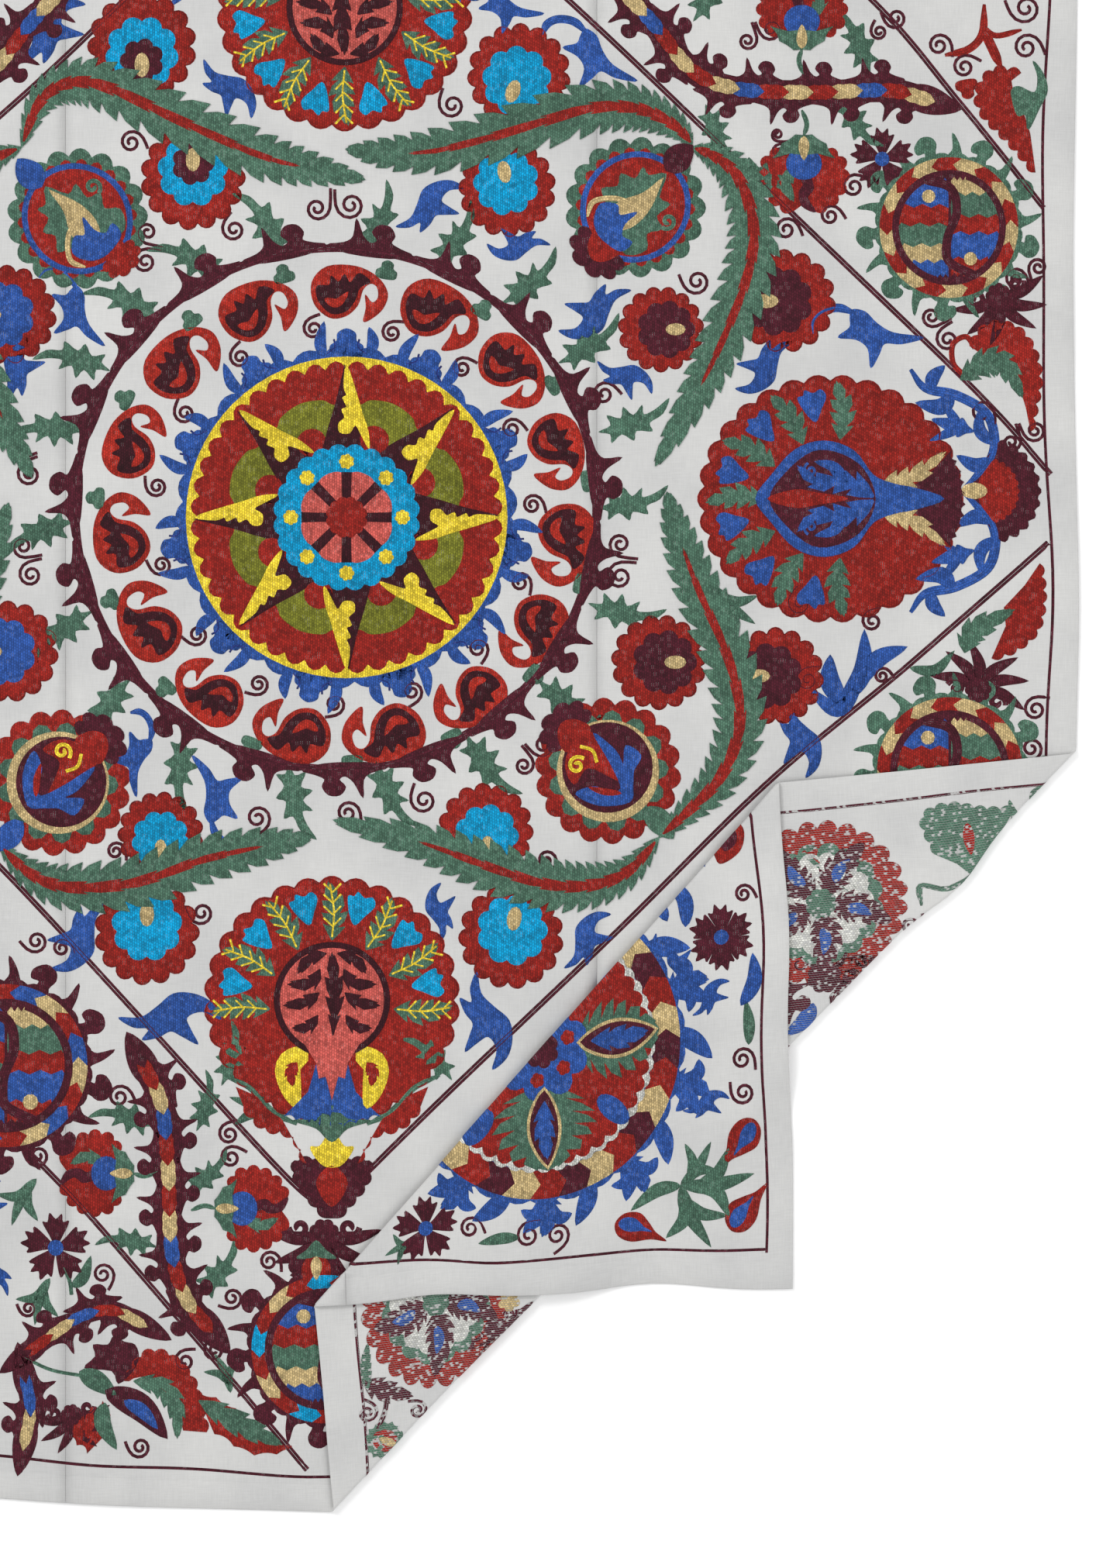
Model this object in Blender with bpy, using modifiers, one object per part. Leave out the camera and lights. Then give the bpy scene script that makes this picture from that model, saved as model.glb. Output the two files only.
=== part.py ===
"""Suzani: an embroidered cotton cloth sewn from three panels.

It lies face up on a flat surface. Its lower right corner is folded over the cloth,
back side up, and the tip of that flap is folded back again, face up, so that the tip
reaches past the first fold and comes down on the surface.

The flat cloth is measured in metres from the middle of its design, +X to the right and
+Y towards the far end. Z is measured from the surface to the back side of the cloth.
"""

import math

import bmesh
import bpy
from mathutils import Vector

# The flat cloth
HALF_WIDTH = 0.750
TOP_EDGE = 1.030
BOTTOM_AT_LEFT = -0.990
BOTTOM_AT_RIGHT = -1.067
SEAMS_X = (-0.2820, 0.2606)
SEAM_GAP = 0.0008
PANEL_NAMES = ("panel_left", "panel_centre", "panel_right")

# Thickness of the embroidered field and of the turned hem round it
FIELD_THICK = 0.0016
HEM_THICK = 0.0022
HEM_WIDTH = 0.032
HEM_STEP = 0.0015

# Where the folds cross the flat cloth's right and bottom edges
FOLD_ONE_RIGHT_Y = -0.2511
FOLD_ONE_BOTTOM_X = -0.0055
FOLD_TWO_RIGHT_Y = -0.5504
FOLD_TWO_BOTTOM_X = 0.2255

# Where the cloth's corner comes to lie after the first fold and after the second
CORNER_ON_FLAP = Vector((-0.0781, -0.3330))
CORNER_ON_TIP = Vector((0.4594, -0.7983))

# Radius of each bend, measured on the back side of the cloth
FOLD_ONE_RADIUS = 0.0032
FOLD_TWO_RADIUS = 0.0013
BEND_STEPS = 6

# The tip comes down from the stack to the surface past the first fold
DROP_START = 0.003
DROP_LENGTH = 0.050

# Unevenness of the edges: (place along the edge, depth, half-length of the wave)
RIGHT_EDGE_WAVES = (
    (-0.93, 0.005, 0.12),
    (-0.70, 0.007, 0.08),
    (-0.10, 0.003, 0.10),
    (0.25, -0.003, 0.15),
    (0.70, 0.003, 0.20),
)
BOTTOM_EDGE_WAVES = (
    (0.60, 0.010, 0.07),
    (0.36, 0.007, 0.06),
    (-0.25, -0.003, 0.12),
    (-0.55, 0.003, 0.12),
)
EDGE_WAVE_REACH = 0.14

# Unevenness of the first fold: (place along it from its right end, size, half-length)
FOLD_BULGES = (
    (0.180, 0.011, 0.050),
    (0.900, -0.006, 0.220),
)
FOLD_BULGE_REACH = 0.07

# Spacing of the lines that divide a panel, and the angle that shows as a crease
CELL = 0.052
SHARP_ANGLE_DEG = 40

CLOTH_COLOUR = (0.78, 0.77, 0.74, 1.0)
CLOTH_ROUGHNESS = 0.9


def bottom_edge(x):
    """The bottom edge runs a little downhill to the right, because the cloth is out of square."""
    share = (x + HALF_WIDTH) / (2 * HALF_WIDTH)
    return BOTTOM_AT_LEFT + share * (BOTTOM_AT_RIGHT - BOTTOM_AT_LEFT)


CORNER = Vector((HALF_WIDTH, BOTTOM_AT_RIGHT))
FOLD_ONE = (
    Vector((HALF_WIDTH, FOLD_ONE_RIGHT_Y)),
    Vector((FOLD_ONE_BOTTOM_X, bottom_edge(FOLD_ONE_BOTTOM_X))),
)
FOLD_TWO = (
    Vector((HALF_WIDTH, FOLD_TWO_RIGHT_Y)),
    Vector((FOLD_TWO_BOTTOM_X, bottom_edge(FOLD_TWO_BOTTOM_X))),
)


def line_frame(line):
    """A fold line's start, its direction, and its normal, which points to the folded corner."""
    along = (line[1] - line[0]).normalized()
    normal = Vector((-along.y, along.x))
    if normal.dot(CORNER - line[0]) < 0:
        normal = -normal
    return line[0], along, normal


def triangle_map(source, target):
    """The affine map that carries one triangle of points to another."""
    a, b, c = source
    ab, ac = b - a, c - a
    area = ab.cross(ac)

    def mapped(p):
        ap = p - a
        to_b = ap.cross(ac) / area
        to_c = ab.cross(ap) / area
        return target[0] + to_b * (target[1] - target[0]) + to_c * (target[2] - target[0])

    return mapped


lay_flap = triangle_map((*FOLD_ONE, CORNER), (*FOLD_ONE, CORNER_ON_FLAP))
lay_tip = triangle_map(
    (*FOLD_TWO, CORNER),
    (lay_flap(FOLD_TWO[0]), lay_flap(FOLD_TWO[1]), CORNER_ON_TIP),
)


def keep(p):
    return p.copy()


def smooth(value):
    """0 up to 0, 1 from 1, and an even rise between them."""
    t = min(1.0, max(0.0, value))
    return t * t * (3 - 2 * t)


def wave_sum(waves, place):
    return sum(depth * math.exp(-(((place - at) / half) ** 2)) for at, depth, half in waves)


def uneven(p):
    """The flat point, moved a little where it is near the right or the bottom edge."""
    near_right = smooth(1 - (HALF_WIDTH - p.x) / EDGE_WAVE_REACH)
    near_bottom = smooth(1 - (p.y - bottom_edge(p.x)) / EDGE_WAVE_REACH)
    return Vector(
        (
            p.x + near_right * wave_sum(RIGHT_EDGE_WAVES, p.y),
            p.y + near_bottom * wave_sum(BOTTOM_EDGE_WAVES, p.x),
        )
    )


def bend(p, line, radius, lay_before, lay_after):
    """Plan position and height of a point in a bend, or None where it lies outside the bend."""
    start, along, normal = line_frame(line)
    distance = (p - start).dot(normal)
    half_arc = math.pi * radius / 2
    if abs(distance) > half_arc:
        return None
    foot = start + along * (p - start).dot(along)
    angle = (distance + half_arc) / radius
    inset = half_arc - radius * math.sin(angle)
    before = lay_before(foot - normal * inset)
    after = lay_after(foot + normal * inset)
    return before.lerp(after, angle / math.pi), radius * (1 - math.cos(angle))


def past(p, line):
    """How far a point lies past a fold line, towards the folded corner."""
    start, _, normal = line_frame(line)
    return (p - start).dot(normal)


def bulge(plan):
    """Moves what lies near the first fold, all layers alike, so that its edge isn't straight."""
    start, along, normal = line_frame(FOLD_ONE)
    distance = (plan - start).dot(normal)
    size = wave_sum(FOLD_BULGES, (plan - start).dot(along))
    return plan + normal * size * math.exp(-((distance / FOLD_BULGE_REACH) ** 2))


def folded(flat):
    """Where a point of the flat cloth's back side comes to lie."""
    p = uneven(flat)
    flap_height = 2 * FOLD_ONE_RADIUS
    in_one = bend(p, FOLD_ONE, FOLD_ONE_RADIUS, keep, lay_flap)
    in_two = bend(p, FOLD_TWO, FOLD_TWO_RADIUS, lay_flap, lay_tip)
    if in_one:
        plan, height = in_one
    elif in_two:
        plan, height = in_two[0], flap_height + in_two[1]
    elif past(p, FOLD_TWO) > 0:
        plan = lay_tip(p)
        drop = smooth((past(plan, FOLD_ONE) - DROP_START) / DROP_LENGTH)
        height = (flap_height + 2 * FOLD_TWO_RADIUS) * (1 - drop)
    elif past(p, FOLD_ONE) > 0:
        plan, height = lay_flap(p), flap_height
    else:
        plan, height = p, 0.0
    plan = bulge(plan)
    return Vector((plan.x, plan.y, height))


def cut_along(bm, point, normal):
    """Divides every face that crosses a line of the flat cloth."""
    bmesh.ops.bisect_plane(
        bm,
        geom=bm.verts[:] + bm.edges[:] + bm.faces[:],
        dist=1e-6,
        plane_co=(point[0], point[1], 0),
        plane_no=(normal[0], normal[1], 0),
    )


def evenly(low, high, spacing):
    count = max(1, round((high - low) / spacing))
    return [low + (high - low) * i / count for i in range(1, count)]


def cut_cells(bm, low_x, high_x):
    for x in evenly(low_x, high_x, CELL):
        cut_along(bm, (x, 0), (1, 0))
    for y in evenly(BOTTOM_AT_RIGHT, TOP_EDGE, CELL):
        cut_along(bm, (0, y), (0, 1))


def cut_bends(bm):
    for line, radius in ((FOLD_ONE, FOLD_ONE_RADIUS), (FOLD_TWO, FOLD_TWO_RADIUS)):
        start, _, normal = line_frame(line)
        half_arc = math.pi * radius / 2
        for i in range(BEND_STEPS + 1):
            offset = half_arc * (2 * i / BEND_STEPS - 1)
            cut_along(bm, start + normal * offset, normal)


def cut_drop(bm):
    """Lines across the tip where it comes down, found on the flat cloth."""
    start, _, normal = line_frame(FOLD_TWO)
    for plan_distance in (DROP_START, DROP_START + DROP_LENGTH / 2, DROP_START + DROP_LENGTH):
        behind = abs(past(lay_tip(start), FOLD_ONE))
        cut_along(bm, start + normal * (behind + plan_distance), normal)


def cut_hem(bm):
    """Two lines inside each edge, where the cloth steps up to the hem."""
    bottom = Vector((1, (BOTTOM_AT_RIGHT - BOTTOM_AT_LEFT) / (2 * HALF_WIDTH)))
    bottom_normal = Vector((-bottom.y, bottom.x)).normalized()
    for inset in (HEM_WIDTH, HEM_WIDTH + HEM_STEP):
        cut_along(bm, (HALF_WIDTH - inset, 0), (1, 0))
        cut_along(bm, (-HALF_WIDTH + inset, 0), (1, 0))
        cut_along(bm, (0, TOP_EDGE - inset), (0, 1))
        cut_along(bm, CORNER + bottom_normal * inset, bottom_normal)


def on_hem(p):
    """Whether a point of the flat cloth is in the turned hem."""
    to_edge = min(
        HALF_WIDTH - abs(p.x),
        TOP_EDGE - p.y,
        p.y - bottom_edge(p.x),
    )
    return to_edge < HEM_WIDTH + HEM_STEP / 2


def back_side(low_x, high_x):
    """A panel's back side: drawn flat, divided, and then folded. Also lists the hem's points."""
    bm = bmesh.new()
    outline = (
        (low_x, bottom_edge(low_x)),
        (high_x, bottom_edge(high_x)),
        (high_x, TOP_EDGE),
        (low_x, TOP_EDGE),
    )
    bm.faces.new([bm.verts.new((x, y, 0)) for x, y in outline])
    cut_cells(bm, low_x, high_x)
    cut_hem(bm)
    cut_bends(bm)
    cut_drop(bm)
    bmesh.ops.triangulate(bm, faces=bm.faces[:])
    bm.verts.index_update()
    hem = [v.index for v in bm.verts if on_hem(v.co)]
    for v in bm.verts:
        v.co = folded(v.co.to_2d())
    mesh = bpy.data.meshes.new("panel")
    bm.to_mesh(mesh)
    bm.free()
    return mesh, hem


def make_panel(name, low_x, high_x, material, collection):
    """The cloth has its full thickness in the hem and is thinner in the field."""
    mesh, hem = back_side(low_x, high_x)
    panel = bpy.data.objects.new(name, mesh)
    collection.objects.link(panel)
    mesh.materials.append(material)
    mesh.shade_smooth()
    mesh.set_sharp_from_angle(angle=math.radians(SHARP_ANGLE_DEG))
    group = panel.vertex_groups.new(name="hem")
    group.add(hem, 1.0, "REPLACE")
    shell = panel.modifiers.new("thickness", "SOLIDIFY")
    shell.thickness = HEM_THICK
    shell.offset = 1.0
    shell.use_even_offset = True
    shell.vertex_group = group.name
    shell.thickness_vertex_group = FIELD_THICK / HEM_THICK
    return panel


def cloth_material():
    material = bpy.data.materials.new("cotton_cloth")
    material.use_nodes = True
    shader = material.node_tree.nodes["Principled BSDF"]
    shader.inputs["Base Color"].default_value = CLOTH_COLOUR
    shader.inputs["Roughness"].default_value = CLOTH_ROUGHNESS
    shader.inputs["Metallic"].default_value = 0.0
    return material


def centre_on_origin(panels):
    """Moves the model so that the origin is under the middle of its box."""
    points = [v.co for panel in panels for v in panel.data.vertices]
    middle_x = (min(p.x for p in points) + max(p.x for p in points)) / 2
    middle_y = (min(p.y for p in points) + max(p.y for p in points)) / 2
    for panel in panels:
        for v in panel.data.vertices:
            v.co.x -= middle_x
            v.co.y -= middle_y
    print("the design's middle is at", round(-middle_x, 5), round(-middle_y, 5))


def clear_scene():
    for obj in list(bpy.data.objects):
        bpy.data.objects.remove(obj)


def main():
    clear_scene()
    collection = bpy.data.collections.new("suzani")
    bpy.context.scene.collection.children.link(collection)
    material = cloth_material()
    starts = (-HALF_WIDTH, *(x + SEAM_GAP / 2 for x in SEAMS_X))
    ends = (*(x - SEAM_GAP / 2 for x in SEAMS_X), HALF_WIDTH)
    panels = [
        make_panel(name, low_x, high_x, material, collection)
        for name, low_x, high_x in zip(PANEL_NAMES, starts, ends)
    ]
    centre_on_origin(panels)


main()
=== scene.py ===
"""The looks of a suzani that lies face up with its lower right corner folded twice.

The design is drawn flat, in centimetres from the middle of the cloth, as patches and lines
of thread. One surface function then lays the three cotton panels and the thread in the
same folds. X runs to the right of the design and Y to its top.
"""

import math

import bmesh
import bpy
import numpy as np
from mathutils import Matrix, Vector
from mathutils.geometry import delaunay_2d_cdt


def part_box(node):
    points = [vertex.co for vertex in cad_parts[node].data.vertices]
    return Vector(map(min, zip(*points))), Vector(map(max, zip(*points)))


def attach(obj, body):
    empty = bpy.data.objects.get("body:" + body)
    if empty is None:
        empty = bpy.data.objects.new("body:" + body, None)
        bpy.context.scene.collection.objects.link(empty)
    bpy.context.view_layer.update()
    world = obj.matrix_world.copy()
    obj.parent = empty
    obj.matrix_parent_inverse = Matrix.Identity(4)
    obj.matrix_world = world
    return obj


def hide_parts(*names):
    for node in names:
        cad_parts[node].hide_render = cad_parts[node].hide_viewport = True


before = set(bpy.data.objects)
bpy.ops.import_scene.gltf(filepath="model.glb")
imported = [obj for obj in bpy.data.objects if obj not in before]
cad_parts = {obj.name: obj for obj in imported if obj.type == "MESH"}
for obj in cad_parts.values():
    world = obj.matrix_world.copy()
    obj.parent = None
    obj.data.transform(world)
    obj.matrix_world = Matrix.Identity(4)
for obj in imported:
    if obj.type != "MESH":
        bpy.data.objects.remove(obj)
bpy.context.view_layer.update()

# The flat cloth, in metres from the design's middle
HALF_WIDTH = 0.750
TOP_EDGE = 1.030
BOTTOM_AT_LEFT = -0.990
BOTTOM_AT_RIGHT = -1.067
SEAMS_X = (-0.2820, 0.2606)
SEAM_GAP = 0.00025
PANELS = ("panel_left", "panel_centre", "panel_right")
HEM_WIDTH = 0.032
FIELD_THICK = 0.0014
HEM_THICK = 0.0021

# The two folds, as the solids have them
FOLD_ONE_RIGHT_Y = -0.2511
FOLD_ONE_BOTTOM_X = -0.0055
FOLD_TWO_RIGHT_Y = -0.5504
FOLD_TWO_BOTTOM_X = 0.2255
CORNER_ON_FLAP = (-0.0781, -0.3330)
CORNER_ON_TIP = (0.4594, -0.7983)
FOLD_ONE_RADIUS = 0.0032
FOLD_TWO_RADIUS = 0.0013
DROP_START = 0.003
DROP_LENGTH = 0.050

# Unevenness of the edges: (place along the edge, depth, half-length of the wave)
RIGHT_EDGE_WAVES = (
    (-0.93, 0.005, 0.12), (-0.70, 0.007, 0.08), (-0.10, 0.003, 0.10), (0.25, -0.003, 0.15),
    (0.70, 0.003, 0.20),
)
BOTTOM_EDGE_WAVES = (
    (0.60, 0.010, 0.07), (0.36, 0.007, 0.06), (-0.25, -0.003, 0.12), (-0.55, 0.003, 0.12),
)
EDGE_WAVE_REACH = 0.14

# Distances from the edge where the hem's cross-section turns
HEM_TURNS = (0.0008, 0.0025, *(HEM_WIDTH + turn for turn in (-0.0055, -0.004, -0.002, 0.0015)))

# Soft ridges in the lying cloth: start, end, height and half-width, in metres
RIDGES = (
    ((-0.30, 0.52), (0.10, 0.36), 0.0016, 0.022), ((0.34, 0.50), (0.46, 0.30), 0.0022, 0.020),
    ((0.66, 0.44), (0.74, 0.16), 0.0024, 0.022), ((0.56, 0.12), (0.70, -0.12), 0.0016, 0.024),
    ((0.30, 0.02), (0.44, -0.16), 0.0014, 0.022), ((-0.36, 0.10), (-0.20, -0.20), 0.0014, 0.026),
    ((-0.30, -0.40), (-0.06, -0.56), 0.0016, 0.024), ((0.02, -0.62), (0.16, -0.44), 0.0018, 0.020),
    ((-0.34, -0.72), (-0.10, -0.80), 0.0020, 0.022), ((-0.26, -0.98), (-0.18, -0.84), 0.0024, 0.020),
    ((-0.05, -1.00), (0.01, -0.90), 0.0022, 0.018), ((-0.60, 0.70), (-0.30, 0.84), 0.0018, 0.026),
    ((0.20, 0.90), (0.42, 0.74), 0.0018, 0.026), ((-0.68, -0.50), (-0.50, -0.72), 0.0020, 0.026),
)
FLAP_RIDGES = (
    ((0.44, -0.28), (0.62, -0.30), 0.0030, 0.012), ((0.46, -0.34), (0.56, -0.42), 0.0022, 0.014),
    ((0.02, -0.86), (0.06, -0.98), 0.0024, 0.012),
)
TIP_RIDGES = (
    ((0.22, -0.62), (0.40, -0.74), 0.0026, 0.022), ((0.30, -0.50), (0.44, -0.46), 0.0022, 0.018),
    ((0.12, -0.74), (0.20, -0.80), 0.0030, 0.014), ((0.38, -0.60), (0.46, -0.66), 0.0020, 0.020),
)
# Bulges of the first fold's edge: place along it from its right end, size, half-length
FOLD_BULGES = ((0.180, 0.0110, 0.050), (0.900, -0.0060, 0.220))
FOLD_BULGE_REACH = 0.07
RIDGE_FADE = 0.03

# Thread, measured on the cloth
THREAD_LIFT = 0.00035
LAYER_LIFT = 0.00022
RIM = 0.0005
ROW = 0.0024
LINK = 0.0030
LINE = 0.26
PATCH_CELL = 0.011
CLOTH_CELL = 0.014
CURL_LINE = 0.34

# How far each stitch row wanders, how far the next row slips, and the pitch of the weave
STITCH_WANDER = 0.0012
ROW_SLIP = 0.377
WEAVE_PITCH = 0.0009
CLOTH_BETWEEN_STITCHES = (0.53, 0.53, 0.52)

# Corners of one tooth of a serrated leaf: how far along the tooth, and how far out
TOOTH = ((0.0, -1.0), (0.5, 0.3), (1.15, 1.0), (1.02, -0.6))

# Outlines of the motifs, in centimetres. The thorn's is in shares of its length and height
HORN = (
    (-3.6, -1.8), (-2.1, -0.9), (-1.4, 0.5), (-0.8, 2.0), (0.6, 2.8), (2.2, 2.9), (3.5, 2.1), (1.9, 1.9),
    (1.1, 0.9), (1.9, 0.2), (2.9, -0.5), (1.4, -0.6), (0.5, -0.7), (-0.1, -1.6), (-1.1, -2.4),
    (-1.1, -1.4), (-2.2, -1.9),
)
BELL = (
    (-0.7, 2.4), (0.4, 1.7), (1.0, 0.2), (2.1, -1.3), (4.6, -2.9), (2.4, -2.6), (0.9, -1.9), (0.0, -2.6),
    (-1.3, -3.5), (-0.8, -1.7), (-1.5, -0.4), (-3.0, 0.5), (-1.6, 0.9), (-1.2, 1.7),
)
PAISLEY = (
    (-3.2, -0.2), (-2.3, 2.0), (0.6, 3.2), (3.2, 3.0), (4.9, 1.8), (5.1, 0.1), (4.4, -1.4), (3.6, -2.1),
    (3.3, -0.6), (2.7, 0.7), (3.7, 0.2), (4.1, 0.9), (3.6, 1.9), (2.8, 2.0), (2.3, 1.1), (2.4, -0.7),
    (1.6, -2.3), (0.0, -3.1), (-2.1, -2.3),
)
PAISLEY_CORE = (
    (2.7, 2.2), (1.2, 2.6), (0.7, 1.3), (-0.2, 1.9), (-0.5, 0.9), (-1.5, 1.2), (-1.3, 0.2), (-2.5, -0.4),
    (-1.8, -1.8), (0.0, -2.6), (1.4, -1.8), (1.9, -0.4), (1.9, 1.2),
)
THORN = (
    (-0.5, 0.0), (-0.31, 0.16), (-0.21, 0.42), (-0.2, 1.05), (-0.1, 0.5), (0.0, 0.26), (0.07, 0.38),
    (0.0, 0.64), (0.07, 0.92), (0.2, 0.9), (0.27, 0.6), (0.24, 0.34), (0.36, 0.16), (0.5, 0.0),
    (0.24, -0.2), (-0.24, -0.2),
)
BARB = ((-0.9, -0.3), (-0.55, 0.4), (-0.2, 1.0), (-0.35, 2.4), (0.3, 1.5), (0.65, 0.5), (1.0, -0.3))
KNOB = (
    (-0.8, -0.3), (-0.4, 0.4), (-0.35, 0.9), (-1.0, 0.9), (-1.1, 1.6), (-0.3, 2.3), (0.6, 2.1),
    (0.9, 1.4), (0.6, 0.6), (0.9, -0.3),
)
BUD = (
    (-3.6, 0.9), (-1.8, 1.0), (0.2, 1.5), (1.8, 1.0), (2.4, -0.3), (1.6, -1.5), (0.0, -1.8), (-1.2, -0.9),
    (-2.2, 0.1),
)
# The lobes of the forked leaf: spine and width
FORKS = (
    (((0, 0), (0.4, 3.2), (-0.3, 7.2)), 1.5), (((0.2, 1.0), (1.0, 3.4), (3.6, 4.6)), 1.4),
    (((0.1, 1.6), (-0.7, 3.6), (-3.1, 4.9)), 1.3),
)
APEX_SCROLL = (
    (0.3, -5.6), (1.4, -4.4), (3.2, -2.9), (5.4, -2.5), (8.0, -3.4), (9.8, -6.5), (10.5, -9.6),
    (12.4, -11.1),
)
# The leaves on that scroll: spine and width
APEX_LEAVES = (
    (((3.2, -2.8), (2.6, -4.4), (3.6, -6.4)), 1.4), (((10.0, -6.8), (8.6, -8.0), (9.0, -10.6)), 1.6),
    (((10.3, -9.0), (11.6, -8.8), (12.8, -7.6)), 1.3), (((4.8, -2.6), (6.2, -4.0), (8.4, -4.0)), 1.2),
)
HOLLY = (
    (0.8, -3.0), (1.2, -1.9), (2.3, -1.8), (1.3, -0.8), (2.2, 0.3), (1.0, 0.6), (1.2, 2.1), (0.1, 1.9),
    (-0.9, 3.2), (-2.8, 3.9), (-1.6, 2.6), (-1.0, 1.4), (-2.2, 1.3), (-1.0, 0.4), (-2.1, -0.5),
    (-0.7, -0.8), (-1.2, -2.1), (0.1, -1.8),
)
NOTCHED_PETAL = (
    (0.0, 0.2), (0.7, 1.2), (1.3, 2.6), (0.7, 2.5), (0.6, 3.3), (0.0, 2.8), (-0.6, 3.4), (-0.8, 2.5),
    (-1.3, 2.5), (-0.6, 1.2),
)
CROOK_GREEN = (
    (0.2, 2.6), (1.0, 3.0), (2.6, 2.4), (2.9, 4.0), (2.4, 5.6), (3.4, 4.4), (3.9, 2.6), (3.1, 0.8),
    (2.0, -1.4), (1.7, 0.1), (0.9, 0.0), (0.4, 1.2),
)
FRUIT_LEAF = (
    (0.0, -4.6), (1.2, -3.3), (2.2, -3.5), (2.0, -2.1), (3.4, -1.5), (2.8, -0.3), (3.8, 1.0), (2.4, 1.8),
    (1.6, 3.4), (0.0, 3.8), (-2.6, 4.2), (-3.8, 2.4), (-2.7, 1.2), (-3.5, -0.2), (-2.2, -0.8),
    (-2.4, -2.6), (-1.1, -2.4),
)
FRUIT_FLOWER = (
    (-0.5, 0.3), (0.6, 1.7), (1.5, 1.1), (2.8, 2.2), (2.2, 3.8), (1.0, 4.6), (-0.4, 4.7), (-2.0, 4.3),
    (-2.2, 2.9), (-1.0, 3.1), (-0.4, 2.0),
)

PALETTE = {
    "red": (146, 32, 24), "red_edge": (112, 20, 16), "paisley_red": (166, 40, 28), "plum": (76, 22, 36),
    "dark": (58, 16, 26), "green": (76, 110, 92), "blue": (44, 82, 156), "deep_blue": (40, 52, 122),
    "turquoise": (0, 148, 198), "yellow": (232, 204, 54), "gold": (196, 172, 122),
    "olive": (116, 118, 36), "pink": (196, 88, 80), "white": (200, 200, 194),
}


def to_linear(channel):
    value = channel / 255
    return value / 12.92 if value <= 0.04045 else ((value + 0.055) / 1.055) ** 2.4


LINEAR = {name: np.array([to_linear(c) for c in rgb]) for name, rgb in PALETTE.items()}
shade = np.random.default_rng(11)


# Folding the flat cloth


def bottom_edge(x):
    share = (x + HALF_WIDTH) / (2 * HALF_WIDTH)
    return BOTTOM_AT_LEFT + share * (BOTTOM_AT_RIGHT - BOTTOM_AT_LEFT)


CORNER = np.array((HALF_WIDTH, BOTTOM_AT_RIGHT))
FOLD_ONE = (
    np.array((HALF_WIDTH, FOLD_ONE_RIGHT_Y)),
    np.array((FOLD_ONE_BOTTOM_X, bottom_edge(FOLD_ONE_BOTTOM_X))),
)
FOLD_TWO = (
    np.array((HALF_WIDTH, FOLD_TWO_RIGHT_Y)),
    np.array((FOLD_TWO_BOTTOM_X, bottom_edge(FOLD_TWO_BOTTOM_X))),
)


def line_frame(line):
    """A fold line's start, its direction, and its normal, which points to the folded corner."""
    along = (line[1] - line[0]) / np.linalg.norm(line[1] - line[0])
    normal = np.array((-along[1], along[0]))
    if normal @ (CORNER - line[0]) < 0:
        normal = -normal
    return line[0], along, normal


def triangle_map(source, target):
    """The affine map that carries one triangle of points to another."""
    a, b, c = (np.array(p, float) for p in source)
    ta, tb, tc = (np.array(p, float) for p in target)
    matrix = np.column_stack((tb - ta, tc - ta)) @ np.linalg.inv(np.column_stack((b - a, c - a)))
    return lambda points: (points - a) @ matrix.T + ta


lay_flap = triangle_map((*FOLD_ONE, CORNER), (*FOLD_ONE, CORNER_ON_FLAP))
lay_tip = triangle_map((*FOLD_TWO, CORNER), (lay_flap(FOLD_TWO[0]), lay_flap(FOLD_TWO[1]), CORNER_ON_TIP))


def smooth(value):
    t = np.clip(value, 0, 1)
    return t * t * (3 - 2 * t)


def wave_sum(waves, place):
    return sum(depth * np.exp(-(((place - at) / half) ** 2)) for at, depth, half in waves)


def uneven(p):
    near_right = smooth(1 - (HALF_WIDTH - p[:, 0]) / EDGE_WAVE_REACH)
    near_bottom = smooth(1 - (p[:, 1] - bottom_edge(p[:, 0])) / EDGE_WAVE_REACH)
    shift_x = near_right * wave_sum(RIGHT_EDGE_WAVES, p[:, 1])
    shift_y = near_bottom * wave_sum(BOTTOM_EDGE_WAVES, p[:, 0])
    return p + np.column_stack((shift_x, shift_y))


def past(points, line):
    start, _, normal = line_frame(line)
    return (points - start) @ normal


def lay_bend(p, line, radius, lay_before, lay_after):
    """Plan and height of points along a bend, and which of the points are in it."""
    start, along, normal = line_frame(line)
    distance = (p - start) @ normal
    half_arc = math.pi * radius / 2
    inside = np.abs(distance) <= half_arc
    foot = start + np.outer((p - start) @ along, along)
    angle = np.clip((distance + half_arc) / radius, 0, math.pi)
    inset = np.outer(half_arc - radius * np.sin(angle), normal)
    share = (angle / math.pi)[:, None]
    plan = lay_before(foot - inset) * (1 - share) + lay_after(foot + inset) * share
    return inside, plan, radius * (1 - np.cos(angle))


def ridge_sum(ridges, plan):
    total = np.zeros(len(plan))
    for start, end, height, half in ridges:
        a, b = np.array(start), np.array(end)
        t = np.clip((plan - a) @ (b - a) / ((b - a) @ (b - a)), 0, 1)
        nearest = a + np.outer(t, b - a)
        away = np.linalg.norm(plan - nearest, axis=1)
        total += height * np.exp(-((away / half) ** 2)) * (0.35 + 0.65 * np.sin(math.pi * t))
    return total


def swell(plan):
    """A slow, low unevenness of the whole cloth."""
    x, y = plan[:, 0], plan[:, 1]
    waves = np.sin(11 * x + 4 * y) * np.sin(9 * y - 5 * x) + 0.6 * np.sin(23 * x - 17 * y + 2)
    return 0.0005 * (1.6 + waves)


def bulge(plan):
    """Moves what lies near the first fold, so that its edge is as uneven as in the photo."""
    start, along, normal = line_frame(FOLD_ONE)
    distance = (plan - start) @ normal
    size = wave_sum(FOLD_BULGES, (plan - start) @ along)
    return plan + np.outer(size * np.exp(-((distance / FOLD_BULGE_REACH) ** 2)), normal)


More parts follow.
